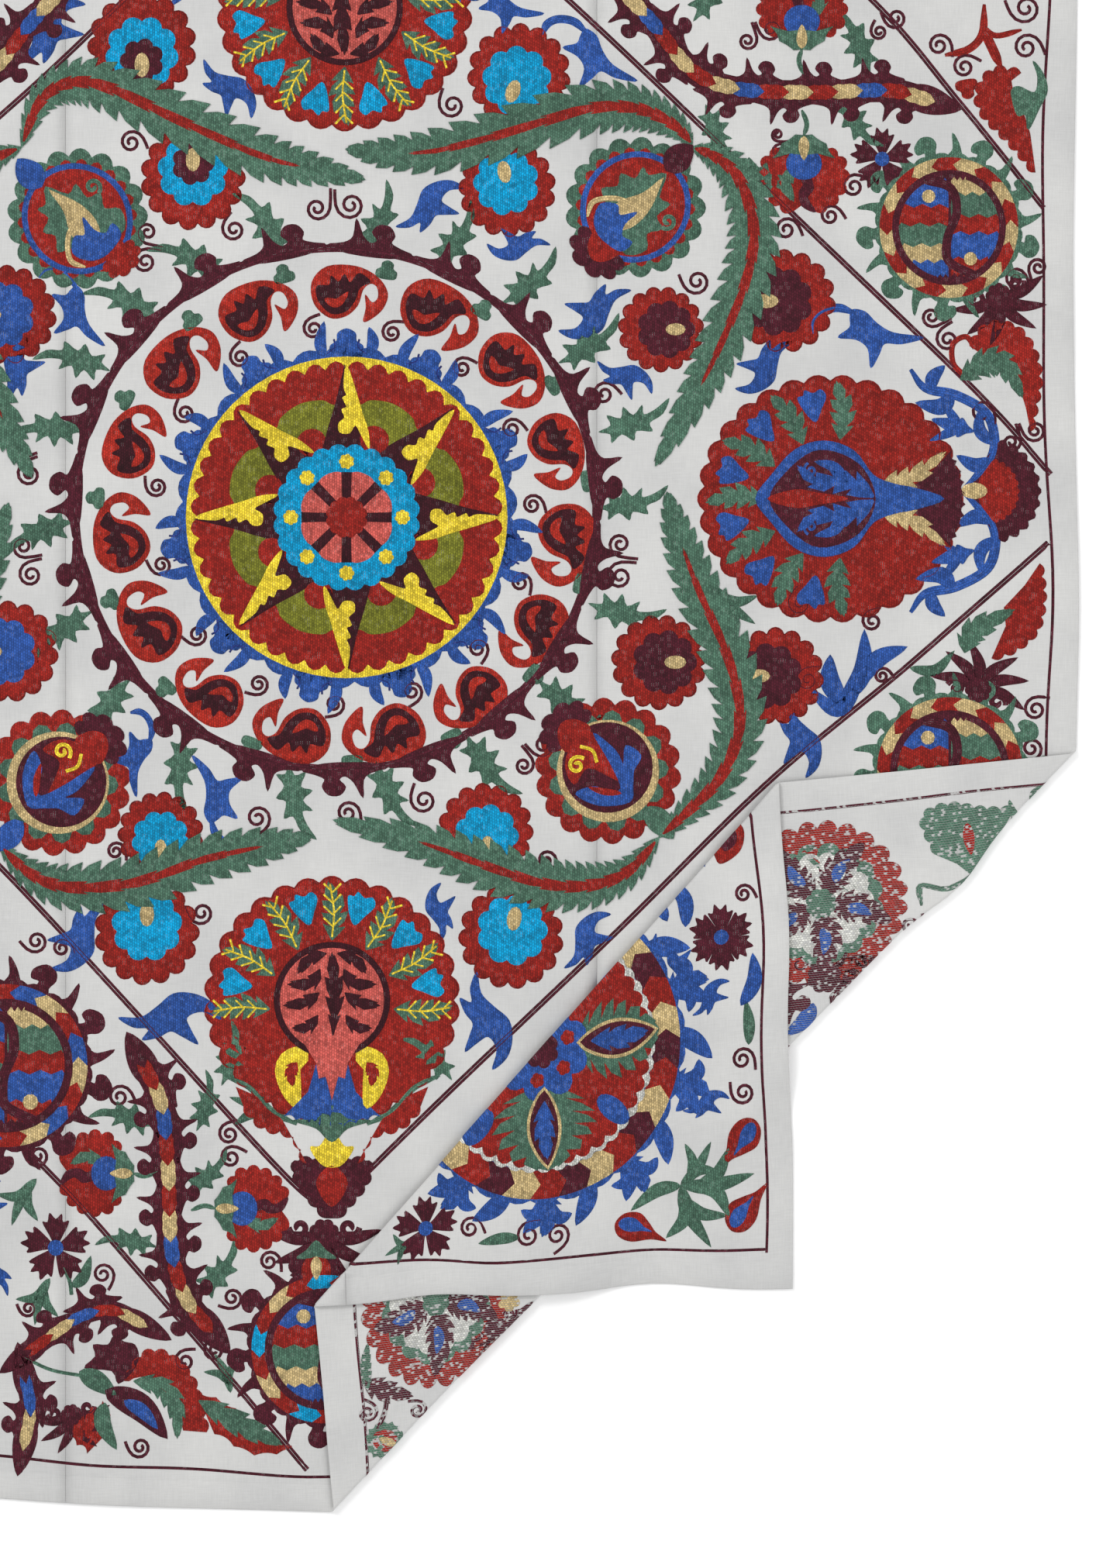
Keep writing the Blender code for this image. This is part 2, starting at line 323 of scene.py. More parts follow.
def back_side(flat):
    """Where points of the flat cloth's back side come to lie."""
    p = uneven(flat)
    flap_height = 2 * FOLD_ONE_RADIUS
    on_flap = past(p, FOLD_ONE) > 0
    on_tip = past(p, FOLD_TWO) > 0
    plan = np.where(on_tip[:, None], lay_tip(p), np.where(on_flap[:, None], lay_flap(p), p))
    drop = smooth((past(plan, FOLD_ONE) - DROP_START) / DROP_LENGTH)
    tip_height = (flap_height + 2 * FOLD_TWO_RADIUS) * (1 - drop)
    height = np.where(on_tip, tip_height, np.where(on_flap, flap_height, 0.0))
    inside, bent, rise = lay_bend(p, FOLD_ONE, FOLD_ONE_RADIUS, lambda q: q, lay_flap)
    plan = np.where(inside[:, None], bent, plan)
    height = np.where(inside, rise, height)
    inside, bent, rise = lay_bend(p, FOLD_TWO, FOLD_TWO_RADIUS, lay_flap, lay_tip)
    plan = np.where(inside[:, None], bent, plan)
    height = np.where(inside, flap_height + rise, height)
    upper = np.where(on_flap, ridge_sum(FLAP_RIDGES, plan), 0.0)
    upper = upper * smooth(past(p, FOLD_ONE) / RIDGE_FADE)
    on_top = np.where(on_tip, ridge_sum(TIP_RIDGES, plan), 0.0)
    upper = upper + on_top * smooth(past(p, FOLD_TWO) / RIDGE_FADE)
    height = height + ridge_sum(RIDGES, plan) + swell(plan) + upper
    return np.column_stack((bulge(plan), height))


def to_edge(flat):
    """Distance from the nearest edge of the flat cloth."""
    return np.minimum(
        np.minimum(HALF_WIDTH - np.abs(flat[:, 0]), TOP_EDGE - flat[:, 1]),
        flat[:, 1] - bottom_edge(flat[:, 0]),
    )


def thickness(flat):
    """The hem is thicker than the field, with a dent along its seam and a rounded edge."""
    edge = to_edge(flat)
    hem = 1 - smooth((edge - HEM_WIDTH + 0.0015) / 0.003)
    dent = 0.0005 * np.exp(-(((edge - HEM_WIDTH + 0.004) / 0.0016) ** 2))
    round_off = 0.45 + 0.55 * smooth(edge / 0.0025)
    return (FIELD_THICK + hem * (HEM_THICK - FIELD_THICK) - dent) * round_off


def upward(flat):
    """The direction square to the cloth, out of its face."""
    step = 0.0001
    dx, dy = np.array((step, 0)), np.array((0, step))
    across = back_side(flat + dx) - back_side(flat - dx)
    up = back_side(flat + dy) - back_side(flat - dy)
    normal = np.cross(across, up)
    return normal / np.linalg.norm(normal, axis=1)[:, None]


# Where the design's middle is in the frame of the solids
LEFT_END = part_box("panel_left")[0][0]
TOP_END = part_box("panel_centre")[1][1]
DESIGN_MIDDLE = np.array((LEFT_END + HALF_WIDTH, TOP_END - TOP_EDGE, 0.0))


def laid(flat, lift):
    """Places on the folded cloth. Lift is above the face, or below the back if negative."""
    base = back_side(flat)
    over = np.where(lift >= 0, thickness(flat) + lift, lift)
    return base + upward(flat) * over[:, None] + DESIGN_MIDDLE


# Cutting meshes along the folds, so that they bend smoothly


def fold_cuts():
    cuts = []
    for line, radius, steps in ((FOLD_ONE, FOLD_ONE_RADIUS, 12), (FOLD_TWO, FOLD_TWO_RADIUS, 8)):
        start, _, normal = line_frame(line)
        half_arc = math.pi * radius / 2
        for i in range(steps + 1):
            cuts.append((start + normal * half_arc * (2 * i / steps - 1), normal))
    start, _, normal = line_frame(FOLD_TWO)
    behind = abs(past(lay_tip(start[None]), FOLD_ONE)[0])
    for i in range(7):
        cuts.append((start + normal * (behind + DROP_START + DROP_LENGTH * i / 6), normal))
    return cuts


def cut_along(bm, point, normal):
    bmesh.ops.bisect_plane(
        bm, geom=bm.verts[:] + bm.edges[:] + bm.faces[:], dist=1e-7, plane_co=(point[0], point[1], 0),
        plane_no=(normal[0], normal[1], 0),
    )


# The cotton panels


def panel_grid(low_x, high_x):
    """A flat grid of a panel, finer along its hem and its folds."""
    columns = max(2, round((high_x - low_x) / CLOTH_CELL))
    rows = round((TOP_EDGE - BOTTOM_AT_RIGHT) / CLOTH_CELL)
    bm = bmesh.new()
    grid = []
    for i in range(columns + 1):
        x = low_x + (high_x - low_x) * i / columns
        low = bottom_edge(x)
        heights = [low + (TOP_EDGE - low) * j / rows for j in range(rows + 1)]
        grid.append([bm.verts.new((x, y, 0)) for y in heights])
    for i in range(columns):
        for j in range(rows):
            bm.faces.new((grid[i][j], grid[i + 1][j], grid[i + 1][j + 1], grid[i][j + 1]))
    slope = Vector((1, (BOTTOM_AT_RIGHT - BOTTOM_AT_LEFT) / (2 * HALF_WIDTH))).normalized()
    inward = (-slope.y, slope.x)
    for inset in HEM_TURNS:
        cut_along(bm, (HALF_WIDTH - inset, 0), (1, 0))
        cut_along(bm, (-HALF_WIDTH + inset, 0), (1, 0))
        cut_along(bm, (0, TOP_EDGE - inset), (0, 1))
        cut_along(bm, CORNER + np.array(inward) * inset, inward)
    for point, normal in fold_cuts():
        cut_along(bm, point, normal)
    return bm


def make_panel(name, low_x, high_x, material):
    bm = panel_grid(low_x, high_x)
    bm.verts.index_update()
    flat = np.array([v.co.to_2d() for v in bm.verts])
    faces = [[v.index for v in f.verts] for f in bm.faces]
    border = [
        (e.link_loops[0].vert.index, e.link_loops[0].link_loop_next.vert.index)
        for e in bm.edges
        if e.is_boundary
    ]
    bm.free()
    count = len(flat)
    back = laid(flat, np.full(count, -1e-9))
    face = laid(flat, np.zeros(count))
    solid = np.vstack((back, face))
    sides = [f[::-1] for f in faces] + [[i + count for i in f] for f in faces]
    walls = [(a, b, b + count, a + count) for a, b in border]
    mesh = bpy.data.meshes.new(name)
    mesh.from_pydata(solid.tolist(), [], sides + walls)
    both = np.vstack((flat, flat))
    set_uv(mesh, both)
    mesh.materials.append(material)
    mesh.shade_smooth()
    return add_object(name, mesh)


def set_uv(mesh, points):
    """Flat cloth coordinates in metres, so that weave and stitches follow the cloth."""
    corners = np.empty(len(mesh.loops), dtype=np.int64)
    mesh.loops.foreach_get("vertex_index", corners)
    layer = mesh.uv_layers.new(name="cloth")
    layer.data.foreach_set("uv", np.asarray(points)[corners].astype(np.float32).ravel())


# Drawing with thread on the flat cloth


class Thread:
    """Collects the patches and lines of one piece of embroidery."""

    def __init__(self):
        self.flat, self.lift, self.uv, self.colour, self.faces = [], [], [], [], []
        self.count = 0

    def add(self, flat, lift, uv, colour, faces):
        self.flat.append(flat)
        self.lift.append(lift)
        self.uv.append(uv)
        self.colour.append(np.tile(colour, (len(flat), 1)))
        self.faces.extend([tuple(i + self.count for i in f) for f in faces])
        self.count += len(flat)


def layer_lift(layer):
    return THREAD_LIFT + LAYER_LIFT * layer


def signed_area(points):
    x, y = points[:, 0], points[:, 1]
    return 0.5 * np.sum(x * np.roll(y, -1) - np.roll(x, -1) * y)


def contains(outline, points):
    """Which points lie inside a closed outline."""
    inside = np.zeros(len(points), bool)
    x, y = points[:, 0], points[:, 1]
    for a, b in zip(outline, np.roll(outline, -1, axis=0)):
        if a[1] == b[1]:
            continue
        crosses = (a[1] > y) != (b[1] > y)
        at = a[0] + (y - a[1]) * (b[0] - a[0]) / (b[1] - a[1])
        inside ^= crosses & (x < at)
    return inside


def inner_points(outline):
    """Points inside a patch, far enough apart to follow the cloth."""
    low, high = outline.min(axis=0), outline.max(axis=0)
    if np.min(high - low) < 1.6 * PATCH_CELL:
        return np.empty((0, 2))
    xs = np.arange(low[0] + PATCH_CELL / 2, high[0], PATCH_CELL)
    ys = np.arange(low[1] + PATCH_CELL / 2, high[1], PATCH_CELL)
    grid = np.array([(x, y) for x in xs for y in ys])
    grid = grid[contains(outline, grid)]
    if not len(grid):
        return grid
    gaps = np.linalg.norm(grid[:, None] - outline[None], axis=2).min(axis=1)
    return grid[gaps > PATCH_CELL * 0.35]


class Pen:
    """Draws in centimetres at a place, turn, size and mirror image on the flat cloth."""

    def __init__(self, thread, matrix=None, offset=(0.0, 0.0)):
        self.thread = thread
        self.matrix = np.eye(2) if matrix is None else matrix
        self.offset = np.array(offset, float)

    def at(self, x, y, turn=0.0, size=1.0, flip=False):
        """A pen at another place, turned by degrees and scaled; flip mirrors it left to right."""
        c, s = math.cos(math.radians(turn)), math.sin(math.radians(turn))
        local = np.array(((c, -s), (s, c))) * size
        if flip:
            local = local @ np.diag((-1.0, 1.0))
        return Pen(self.thread, self.matrix @ local, self.matrix @ (x, y) + self.offset)

    def mirrored(self, sign_x, sign_y):
        turn = np.diag((float(sign_x), float(sign_y)))
        return Pen(self.thread, turn @ self.matrix, turn @ self.offset)

    def place(self, points):
        return (np.asarray(points, float) @ self.matrix.T + self.offset) * 0.01

    def patch(self, outline, colour, layer=0, rows=90):
        """Fills an outline; rows is the direction of its rows of stitches, in degrees."""
        edge = self.place(outline)
        if signed_area(edge) < 0:
            edge = edge[::-1]
        fill = inner_points(edge)
        points = np.vstack((edge, fill))
        n = len(edge)
        verts, _, faces, origin, _, _ = delaunay_2d_cdt(
            [Vector(p) for p in points], [], [list(range(n))], 1, 1e-7
        )
        found = {}
        for index, sources in enumerate(origin):
            for source in sources:
                found[source] = index
        top = np.array([(v.x, v.y) for v in verts])
        ahead = np.roll(edge, -1, axis=0) - np.roll(edge, 1, axis=0)
        length = np.maximum(np.linalg.norm(ahead, axis=1), 1e-9)
        outward = np.column_stack((ahead[:, 1], -ahead[:, 0])) / length[:, None]
        rim = edge + outward * RIM
        count = len(top)
        wall = []
        for i in range(n):
            a, b = found.get(i), found.get((i + 1) % n)
            if a is not None and b is not None and a != b:
                wall.append((a, count + i, count + (i + 1) % n, b))
        high = layer_lift(layer)
        low = layer_lift(layer - 1.6) - (THREAD_LIFT if layer == 0 else 0)
        lift = np.concatenate((np.full(count, high), np.full(n, low)))
        flat = np.vstack((top, rim))
        angle = math.radians(rows - 90)
        turn = np.array(((math.cos(angle), math.sin(angle)), (-math.sin(angle), math.cos(angle))))
        uv = flat @ turn.T + shade.uniform(0, 0.02, 2)
        self.thread.add(flat, lift, uv, self.tint(colour), [tuple(f) for f in faces] + wall)

    def tint(self, colour):
        return LINEAR[colour] * shade.uniform(0.92, 1.08)

    def line(self, points, colour, width=LINE, layer=0, closed=False, taper=False):
        """A line of chain stitch, a raised ribbon three points wide."""
        path = np.asarray(points, float)
        if closed:
            path = np.vstack((path, path[:1]))
        path = self.place(path)
        step = np.gradient(path, axis=0)
        if closed:
            step[0] = step[-1] = path[1] - path[-2]
        side = np.column_stack((-step[:, 1], step[:, 0]))
        side /= np.maximum(np.linalg.norm(side, axis=1), 1e-9)[:, None]
        half = width * 0.005 * abs(np.linalg.det(self.matrix)) ** 0.25
        share = np.linspace(0, 1, len(path))
        widths = half * (np.clip(3.2 * np.minimum(share + 0.12, 1.12 - share), 0, 1) if taper else 1)
        side = side * (np.ones(len(path)) * widths)[:, None]
        along = lengths_along(path)
        flat = np.vstack((path - side, path, path + side))
        high, low = layer_lift(layer + 0.6), layer_lift(layer - 1.4)
        n = len(path)
        lift = np.concatenate((np.full(n, low), np.full(n, high), np.full(n, low)))
        rows = max(1, round(2 * half / ROW)) * ROW
        uv = np.vstack([np.column_stack((np.full(n, rows * k / 2), along)) for k in range(3)])
        faces = []
        for i in range(n - 1):
            faces.append((i, i + 1, n + i + 1, n + i))
            faces.append((n + i, n + i + 1, 2 * n + i + 1, 2 * n + i))
        faces = [f[::-1] for f in faces]
        self.thread.add(flat, lift, uv, self.tint(colour), faces)


# Outlines, in centimetres


def polar(angles_deg, radii):
    a = np.radians(np.atleast_1d(angles_deg))
    return np.column_stack((np.cos(a) * radii, np.sin(a) * radii))


def spot(angle_deg, radius):
    """A single place at an angle and a distance."""
    angle = math.radians(angle_deg)
    return radius * math.cos(angle), radius * math.sin(angle)


def disc(radius, count=26):
    return polar(np.arange(count) * 360 / count, radius)


def oval(rx, ry, count=26):
    return disc(1.0, count) * (rx, ry)


def scallop(radius, lobes, depth=0.12, per_lobe=6, start=0.0):
    """A round outline of even lobes."""
    steps = np.arange(lobes * per_lobe)
    bump = np.sin(math.pi * (steps % per_lobe) / per_lobe) ** 0.8
    return polar(start + steps * 360 / (lobes * per_lobe), radius * (1 - depth + depth * bump))


def arc(radius, start, end, count=20):
    return polar(np.linspace(start, end, count), radius)


def curve(points, per=6):
    """A smooth open line through given points."""
    p = np.asarray(points, float)
    p = np.vstack((2 * p[0] - p[1], p, 2 * p[-1] - p[-2]))
    found = []
    for i in range(1, len(p) - 2):
        for t in np.arange(per) / per:
            found.append(spline_point(p[i - 1 : i + 3], t))
    found.append(p[-2])
    return np.array(found)


def loop(points, per=5):
    """A smooth closed outline through given points."""
    p = np.asarray(points, float)
    found = []
    for i in range(len(p)):
        four = p[[(i + k) % len(p) for k in (-1, 0, 1, 2)]]
        found.extend(spline_point(four, t) for t in np.arange(per) / per)
    return np.array(found)


def spline_point(four, t):
    a, b, c, d = four
    return 0.5 * (
        2 * b + (c - a) * t + (2 * a - 5 * b + 4 * c - d) * t**2 + (3 * b - a - 3 * c + d) * t**3
    )


def lengths_along(path):
    """How far each point of a path is from its start."""
    return np.concatenate(((0,), np.cumsum(np.linalg.norm(np.diff(path, axis=0), axis=1))))


def values_at(place, along, table):
    """A path's two columns, read between its points at other places along it."""
    return np.column_stack([np.interp(place, along, table[:, k]) for k in (0, 1)])


def sideways(path):
    """Directions square to a path, to its left."""
    step = np.gradient(path, axis=0)
    return np.column_stack((-step[:, 1], step[:, 0])) / np.linalg.norm(step, axis=1)[:, None]


def both_halves(half):
    """A line and its mirror image in one. Points on the middle line come once."""
    half = np.asarray(half, float)
    other = half[::-1] * (-1, 1)
    return np.vstack((half, other[half[::-1, 0] != 0]))


def leaf(spine, width, teeth=0, tooth=0.3, start=0.06, fullest=0.45, round_off=0.75):
    """A leaf along a curved spine. Its sides can be serrated, with teeth that lean to the tip."""
    mid = curve(spine, 8)
    place = np.linspace(0, 1, len(mid))
    share, reach = np.linspace(0, 1, 15), np.ones(15)
    if teeth:
        corners = [(k + ahead, out) for k in range(teeth) for ahead, out in TOOTH]
        share = np.array([0.0, *((at / (teeth + 0.3)) for at, _ in corners), 1.0])
        reach = np.array([1.0, *(1 + out * tooth for _, out in corners), 1.0])
    power = math.log(0.5) / math.log(fullest)
    profile = (np.sin(math.pi * share**power) ** round_off + start * (1 - share)) * reach
    centre = values_at(share, place, mid)
    out = values_at(share, place, sideways(mid))
    left = centre + out * (profile * width / 2)[:, None]
    right = centre - out * (profile * width / 2)[:, None]
    return np.vstack((left, right[-2:0:-1]))


def spiral(radius, turns=1.4, count=22, tail=0.0):
    """A curl of line that winds in to its middle, from an optional straight tail."""
    share = np.linspace(0, 1, count)
    points = polar(360 * turns * share, radius * (1 - 0.82 * share**0.8))
    if tail:
        points = np.vstack(((radius * 1.05, -tail), (radius * 1.05, -tail / 2), points))
    return points


def frill(points, bumps, depth, side=1):
    """A smooth line through given points, with round bumps along one side of it."""
    mid = curve(points, 8)
    along = lengths_along(mid)
    share = np.linspace(0, 1, bumps * 5 + 1)
    path = values_at(share * along[-1], along, mid)
    bump = np.abs(np.sin(math.pi * share * bumps)) ** 0.8
    return path - sideways(path) * (bump * depth * side)[:, None]


def rotated(points, turn):
    c, s = math.cos(math.radians(turn)), math.sin(math.radians(turn))
    return np.asarray(points) @ np.array(((c, s), (-s, c)))


# Motifs


def curl(pen, size=1.0, turns=1.6, colour="plum"):
    pen.line(spiral(1.3 * size, turns, tail=1.2 * size), colour, CURL_LINE)


def curl_pair(pen, size=1.0):
    """Two small dark spirals on one stem."""
    left = pen.at(-1.5 * size, 0)
    left.line(spiral(1.35 * size, 1.7, tail=1.4 * size), "plum", CURL_LINE)
    right = pen.at(1.5 * size, 0.3 * size, 0, 1, True)
    right.line(spiral(1.15 * size, 1.6, tail=1.8 * size), "plum", CURL_LINE)


def rosette(pen, radius, ring="turquoise", inner=False):
    """A round flower with its gold seed near the stalk, which is at the bottom."""
    pen.patch(scallop(radius, 15, 0.13), "red")
    pen.line(scallop(radius * 0.985, 15, 0.13), "red_edge", LINE * 0.7, 0.4, closed=True)
    pen.patch(scallop(radius * 0.67, 9, 0.15, 6, 10) - (0, radius * 0.12), ring, 1)
    if inner:
        pen.patch(scallop(radius * 0.4, 7, 0.18, 6) - (0, radius * 0.26), "plum", 2)
    pen.patch(oval(radius * 0.13, radius * 0.22, 12) - (0, radius * 0.34), "gold", 3)


def fleur(pen, size=1.0, colour="blue"):
    """A curved horn whose mouth opens in three pointed lobes."""
    pen.patch(loop(HORN, 4) * size, colour)


def bell(pen, size=1.0, colour="blue"):
    """A hanging flower with three pointed lobes on a bent stalk."""
    pen.line(
        curve(((-5.1, 1.8), (-4.6, 2.9), (-3.4, 3.4), (-1.8, 3.1), (-0.5, 1.9))) * size, colour,
        0.85 * size, 0, taper=True,
    )
    pen.patch(loop(BELL, 4) * size, colour, 0.3)


def tulip(pen, size=1.0, main="blue", base="green"):
    """A small side-on flower with three curved petals."""
    left = loop(((0, 0.1), (-1.0, 0.6), (-1.9, 1.9), (-2.4, 3.2), (-1.5, 2.6), (-0.7, 1.9), (-0.2, 1.2)))
    for outline in (left, left * (-1, 1)):
        pen.patch(outline * size, main)
    centre = loop(both_halves(((0, 0.2), (-0.75, 1.1), (-0.55, 2.2), (0, 3.6))))
    pen.patch(centre * size, main, 1)
    pen.patch(loop(both_halves(((0, -1.3), (-0.45, -0.5), (-1.1, 0.35), (0, 0.6)))) * size, base, 2)


def band_tulip(pen, size=1.0):
    """A flower of the corner bands: a green cap, a blue bulb and frilled red wings."""
    bloom = pen.at(0, 0, 0, size)
    for side in (-1, 1):
        half = pen.at(0, 0, 0, size, side < 0)
        wing = frill(((0.8, -0.4), (3.5, 0.5), (4.2, 2.8), (3.2, 4.9), (1.2, 6.2)), 7, 0.5)
        half.patch(np.vstack((wing, ((0.1, 5.4), (-0.1, 3.0), (0.0, 1.0)))), "red", 0.1 * side)
    bloom.patch(leaf(((0.9, 1.6), (1.9, 3.3), (1.0, 5.2)), 1.2, 2, 0.3), "green", 1.2)
    stalk = loop(
        (
            (-0.5, 2.4), (-1.0, 3.8), (-0.4, 4.8), (-1.2, 6.2), (0.2, 5.6), (0.5, 4.2), (0.1, 3.4),
            (0.5, 2.4),
        ),
        4,
    )
    bloom.patch(stalk, "plum", 1.4)
    bloom.patch(oval(1.8, 1.6, 20) + (0, 1.3), "blue", 2.6)
    brim = frill(both_halves(((3.2, 0.7), (1.9, -1.1), (0, -1.8))), 5, 0.2)
    bloom.patch(np.vstack((brim, ((-1.4, 0.2), (0, 0.4), (1.4, 0.2)))), "green", 3.8)
    bloom.patch(leaf(((0, -1.5), (0, -0.4), (0, 0.9)), 1.0), "gold", 5)
    bloom.line(curve(((0, -1.6), (-0.3, -2.8), (0.2, -4.2))), "green", 0.5, 0.4, taper=True)


def plume(pen, size=1.0, colour="plum"):
    """A fan of pointed lobes over a round base."""
    for angle in (-78, -44, -14, 14, 44, 78):
        bend = 0.5 if angle > 0 else -0.5
        lobe = leaf(((0, 0.4), (bend * 0.3, 2.6), (bend * 3.0, 5.2)), 1.25)
        pen.patch(rotated(lobe, -angle) * size, colour)
    pen.patch(scallop(1.4, 8, 0.15) * size, colour, 0.6)
    for side in (-1, 1):
        foot = pen.at(side * 2.3 * size, -0.6 * size, 0, size, side < 0)
        foot.line(spiral(1.0, 1.1), colour, 0.6)


def palmette(pen, size=1.0, colour="plum", core="red"):
    """A side-on flower head: a frilled fan, a core and a calyx."""
    fan = frill(both_halves(((-0.9, -0.9), (-3.1, 0.4), (-3.2, 2.8), (-1.6, 4.6), (0, 5.1))), 13, 0.5)
    pen.patch(fan[::-1] * size, colour)
    pen.patch(loop(both_halves(((0, -1.0), (-1.7, 0.6), (-1.6, 2.6), (0, 3.8)))) * size, core, 1)
    pen.patch(loop(both_halves(((0, -0.4), (-0.7, 0.8), (0, 2.6)))) * size, "gold", 2)
    calyx = loop(both_halves(((0, -2.4), (-1.2, -1.2), (-2.5, -0.2), (-0.9, -0.2), (0, -0.4))))
    pen.patch(calyx * size, "green", 2)


def comma_leaf(pen, size=1.0):
    """A large red leaf, frilled along its outer side, with a green leaf in its crook."""
    outer = frill(
        ((-3.2, 2.0), (-1.2, 4.2), (1.8, 4.0), (3.8, 1.6), (4.4, -1.6), (3.9, -4.6), (3.4, -7.2)), 12,
        0.45, -1,
    )
    inner = curve(((2.9, -4.6), (2.0, -2.0), (0.4, -0.4), (-1.6, 0.2), (-2.0, 1.2)), 4)
    pen.patch(np.vstack((outer, inner)) * size, "red")
    pen.patch(
        leaf(((-4.2, -1.6), (-1.4, 0.2), (0.8, -0.2), (2.6, -3.6)), 2.5, 6, 0.35) * size, "green", 1,
    )
    pen.line(
        curve(((-2.6, 1.8), (-3.6, 3.0), (-5.0, 2.2), (-5.0, 0.2), (-4.0, -1.0))) * size, "red",
        0.6 * size, 0.5,
    )


def crook_leaf(pen, size=1.0):
    """A red leaf frilled along one side, with a green leaf in its crook."""
    frilled = frill(
        ((1.2, 4.4), (-1.6, 4.6), (-3.2, 2.4), (-2.6, 0.2), (-0.6, -1.9), (1.0, -3.6), (2.8, -5.8)), 11,
        0.5,
    )
    pen.patch(np.vstack((frilled, ((2.2, -1.8), (1.4, 0.6), (0.4, 2.4), (0.2, 3.6)))) * size, "red")
    pen.patch(loop(CROOK_GREEN, 4) * size, "green", 1.2)


def paisley(pen, size=1.0):
    """A red comma with a dark one inside, its head to the left and its tail curling in."""
    pen.patch(loop(PAISLEY, 4) * size, "paisley_red")
    pen.patch(loop(PAISLEY_CORE, 4) * size, "dark", 1)
    pen.patch(leaf(((-1.2, -1.4), (0.2, -1.3), (0.9, 0.3)), 0.85) * size, "paisley_red", 2.2)


def holly(pen, size=1.0):
    """A slender leaf with curved teeth, which ends in a long bent point."""
    pen.patch(loop(HOLLY, 3) * (0.86 * size, 1.14 * size), "green")


def forked_leaf(pen, size=1.0):
    """A green leaf of three slender lobes from one foot."""
    for spine, width in FORKS:
        pen.patch(leaf(spine, width) * size, "green")


def sprig(pen, size=1.0):
    """A forked leaf set by its middle."""
    forked_leaf(pen.at(0, -3.2 * size), size)


def crown(pen, size, colour):
    """A three-lobed tuft."""
    outline = loop(both_halves(((-1.2, -0.6), (-1.5, 0.4), (-0.9, 0.9), (-0.8, 1.6), (0, 2.0))), 4)
    pen.patch(outline * size, colour)


def feather(pen, spine, width=4.5):
    """A long serrated leaf with a red rib. It lies over the flowers at its sides."""
    length = np.linalg.norm(np.diff(curve(spine), axis=0), axis=1).sum()
    pen.patch(leaf(spine, width, round(length / 1.75), 0.27, 0.0, 0.54, 0.6), "green", 4.5)
    middle = curve(spine, 8)
    rib = middle[1 : int(len(middle) * 0.84) : 3]
    pen.patch(leaf(rib, 0.88, round(length / 3.6), 0.3, 0.2, 0.42, 0.5), "red", 5.7)


def leafy_fruit(pen, cap, tuft="plum", tuft_size=1.0):
    """A fruit with a green frill, a blue ring, and a leaf, a gold seed and a flower inside."""
    pen.patch(scallop(7.2, 17, 0.11), "green")
    pen.patch(scallop(6.1, 22, 0.13, 4), "red", 1)
    pen.patch(oval(5.5, 5.8, 34), "blue", 2)
    pen.patch(oval(4.9, 5.2, 34), "red", 3.2)
    pen.patch(loop(FRUIT_LEAF, 3), "green", 4.4)
    pen.patch(leaf(((0, -4.2), (-0.3, -1.2), (0.2, 1.2), (0.8, 3.6)), 2.8, 0, 0, 0.05, 0.66), "gold", 5.6)
    pen.patch(loop(FRUIT_FLOWER, 4), "blue", 6.8)
    pen.line(curve(((0.0, 0.0), (2.0, 0.7), (3.5, 2.5), (2.9, 4.1))), "gold", 0.55, 6.8, taper=True)
    pen.at(-3.4, -1.2, 90).line(spiral(0.9, 1.2), "green", 0.5, 4.4)
    crest = pen.at(-0.3, 6.1, 0, tuft_size)
    crest.patch(scallop(2.9, 8, 0.2) * (1.1, 0.8), tuft, 3)
    crest.patch(loop(((-1.6, -2.1), (-1.3, -0.1), (-0.1, 0.8), (1.3, -0.1), (1.5, -2.1))), "red", 4.2)
    pen.patch(leaf(((0.0, -4.9), (0.2, -6.6), (0, -8.6)), 2.5, 0, 0, 0.2, 0.5), cap, 5)


def blue_hearted_fruit(pen, cap):
    """A fruit with a red frill, a green and a gold ring, and a plum and blue middle."""
    pen.patch(scallop(7.5, 18, 0.1), "red")
    pen.patch(scallop(6.2, 13, 0.2, 4), "green", 1)
    pen.patch(disc(5.2, 34), "gold", 2)
    pen.patch(disc(4.6, 34) + (0.2, 0.3), "plum", 3.2)
    pen.patch(
        loop(((0.6, 4.9), (-2.6, 3.6), (-3.4, 1.4), (-1.2, 1.6), (0.2, -1.6), (0.9, 1.2), (1.6, 3.6))),
        "red", 4.4,
    )
    flame = loop(
        (
            (-0.6, -3.8), (-3.1, -1.9), (-4.0, 0.6), (-2.2, -0.1), (-1.5, -1.4), (-0.3, -2.2), (0.7, 0.4),
            (1.6, 3.8), (2.0, 1.0), (1.6, -0.6), (3.1, 0.6), (3.5, -1.2), (1.9, -1.8), (0.8, -2.8),
        ),
        4,
    )
    pen.patch(flame, "blue", 5.6)
    pen.patch(leaf(((-0.6, -2.6), (-1.8, -1.2), (-2.6, 0.2)), 0.6), "red", 6.8)
    pen.at(-1.9, 2.6).line(spiral(1.0, 1.3), "yellow", 0.45, 5.6)
    pen.line(curve(((-0.3, 3.8), (0.3, 2.6), (-0.2, 1.4))), "yellow", 0.4, 5.6)
    pen.patch(scallop(2.8, 8, 0.2) * (1.1, 0.8) + (0, 6.3), "plum", 3)
    pen.patch(loop(both_halves(((-1.6, 4.2), (-1.3, 6.0), (0, 6.8)))), "red", 4.2)
    pen.patch(leaf(((0.0, -5.4), (0.2, -7.4), (0, -9.6)), 2.2, 0, 0, 0.2, 0.5), cap, 5)


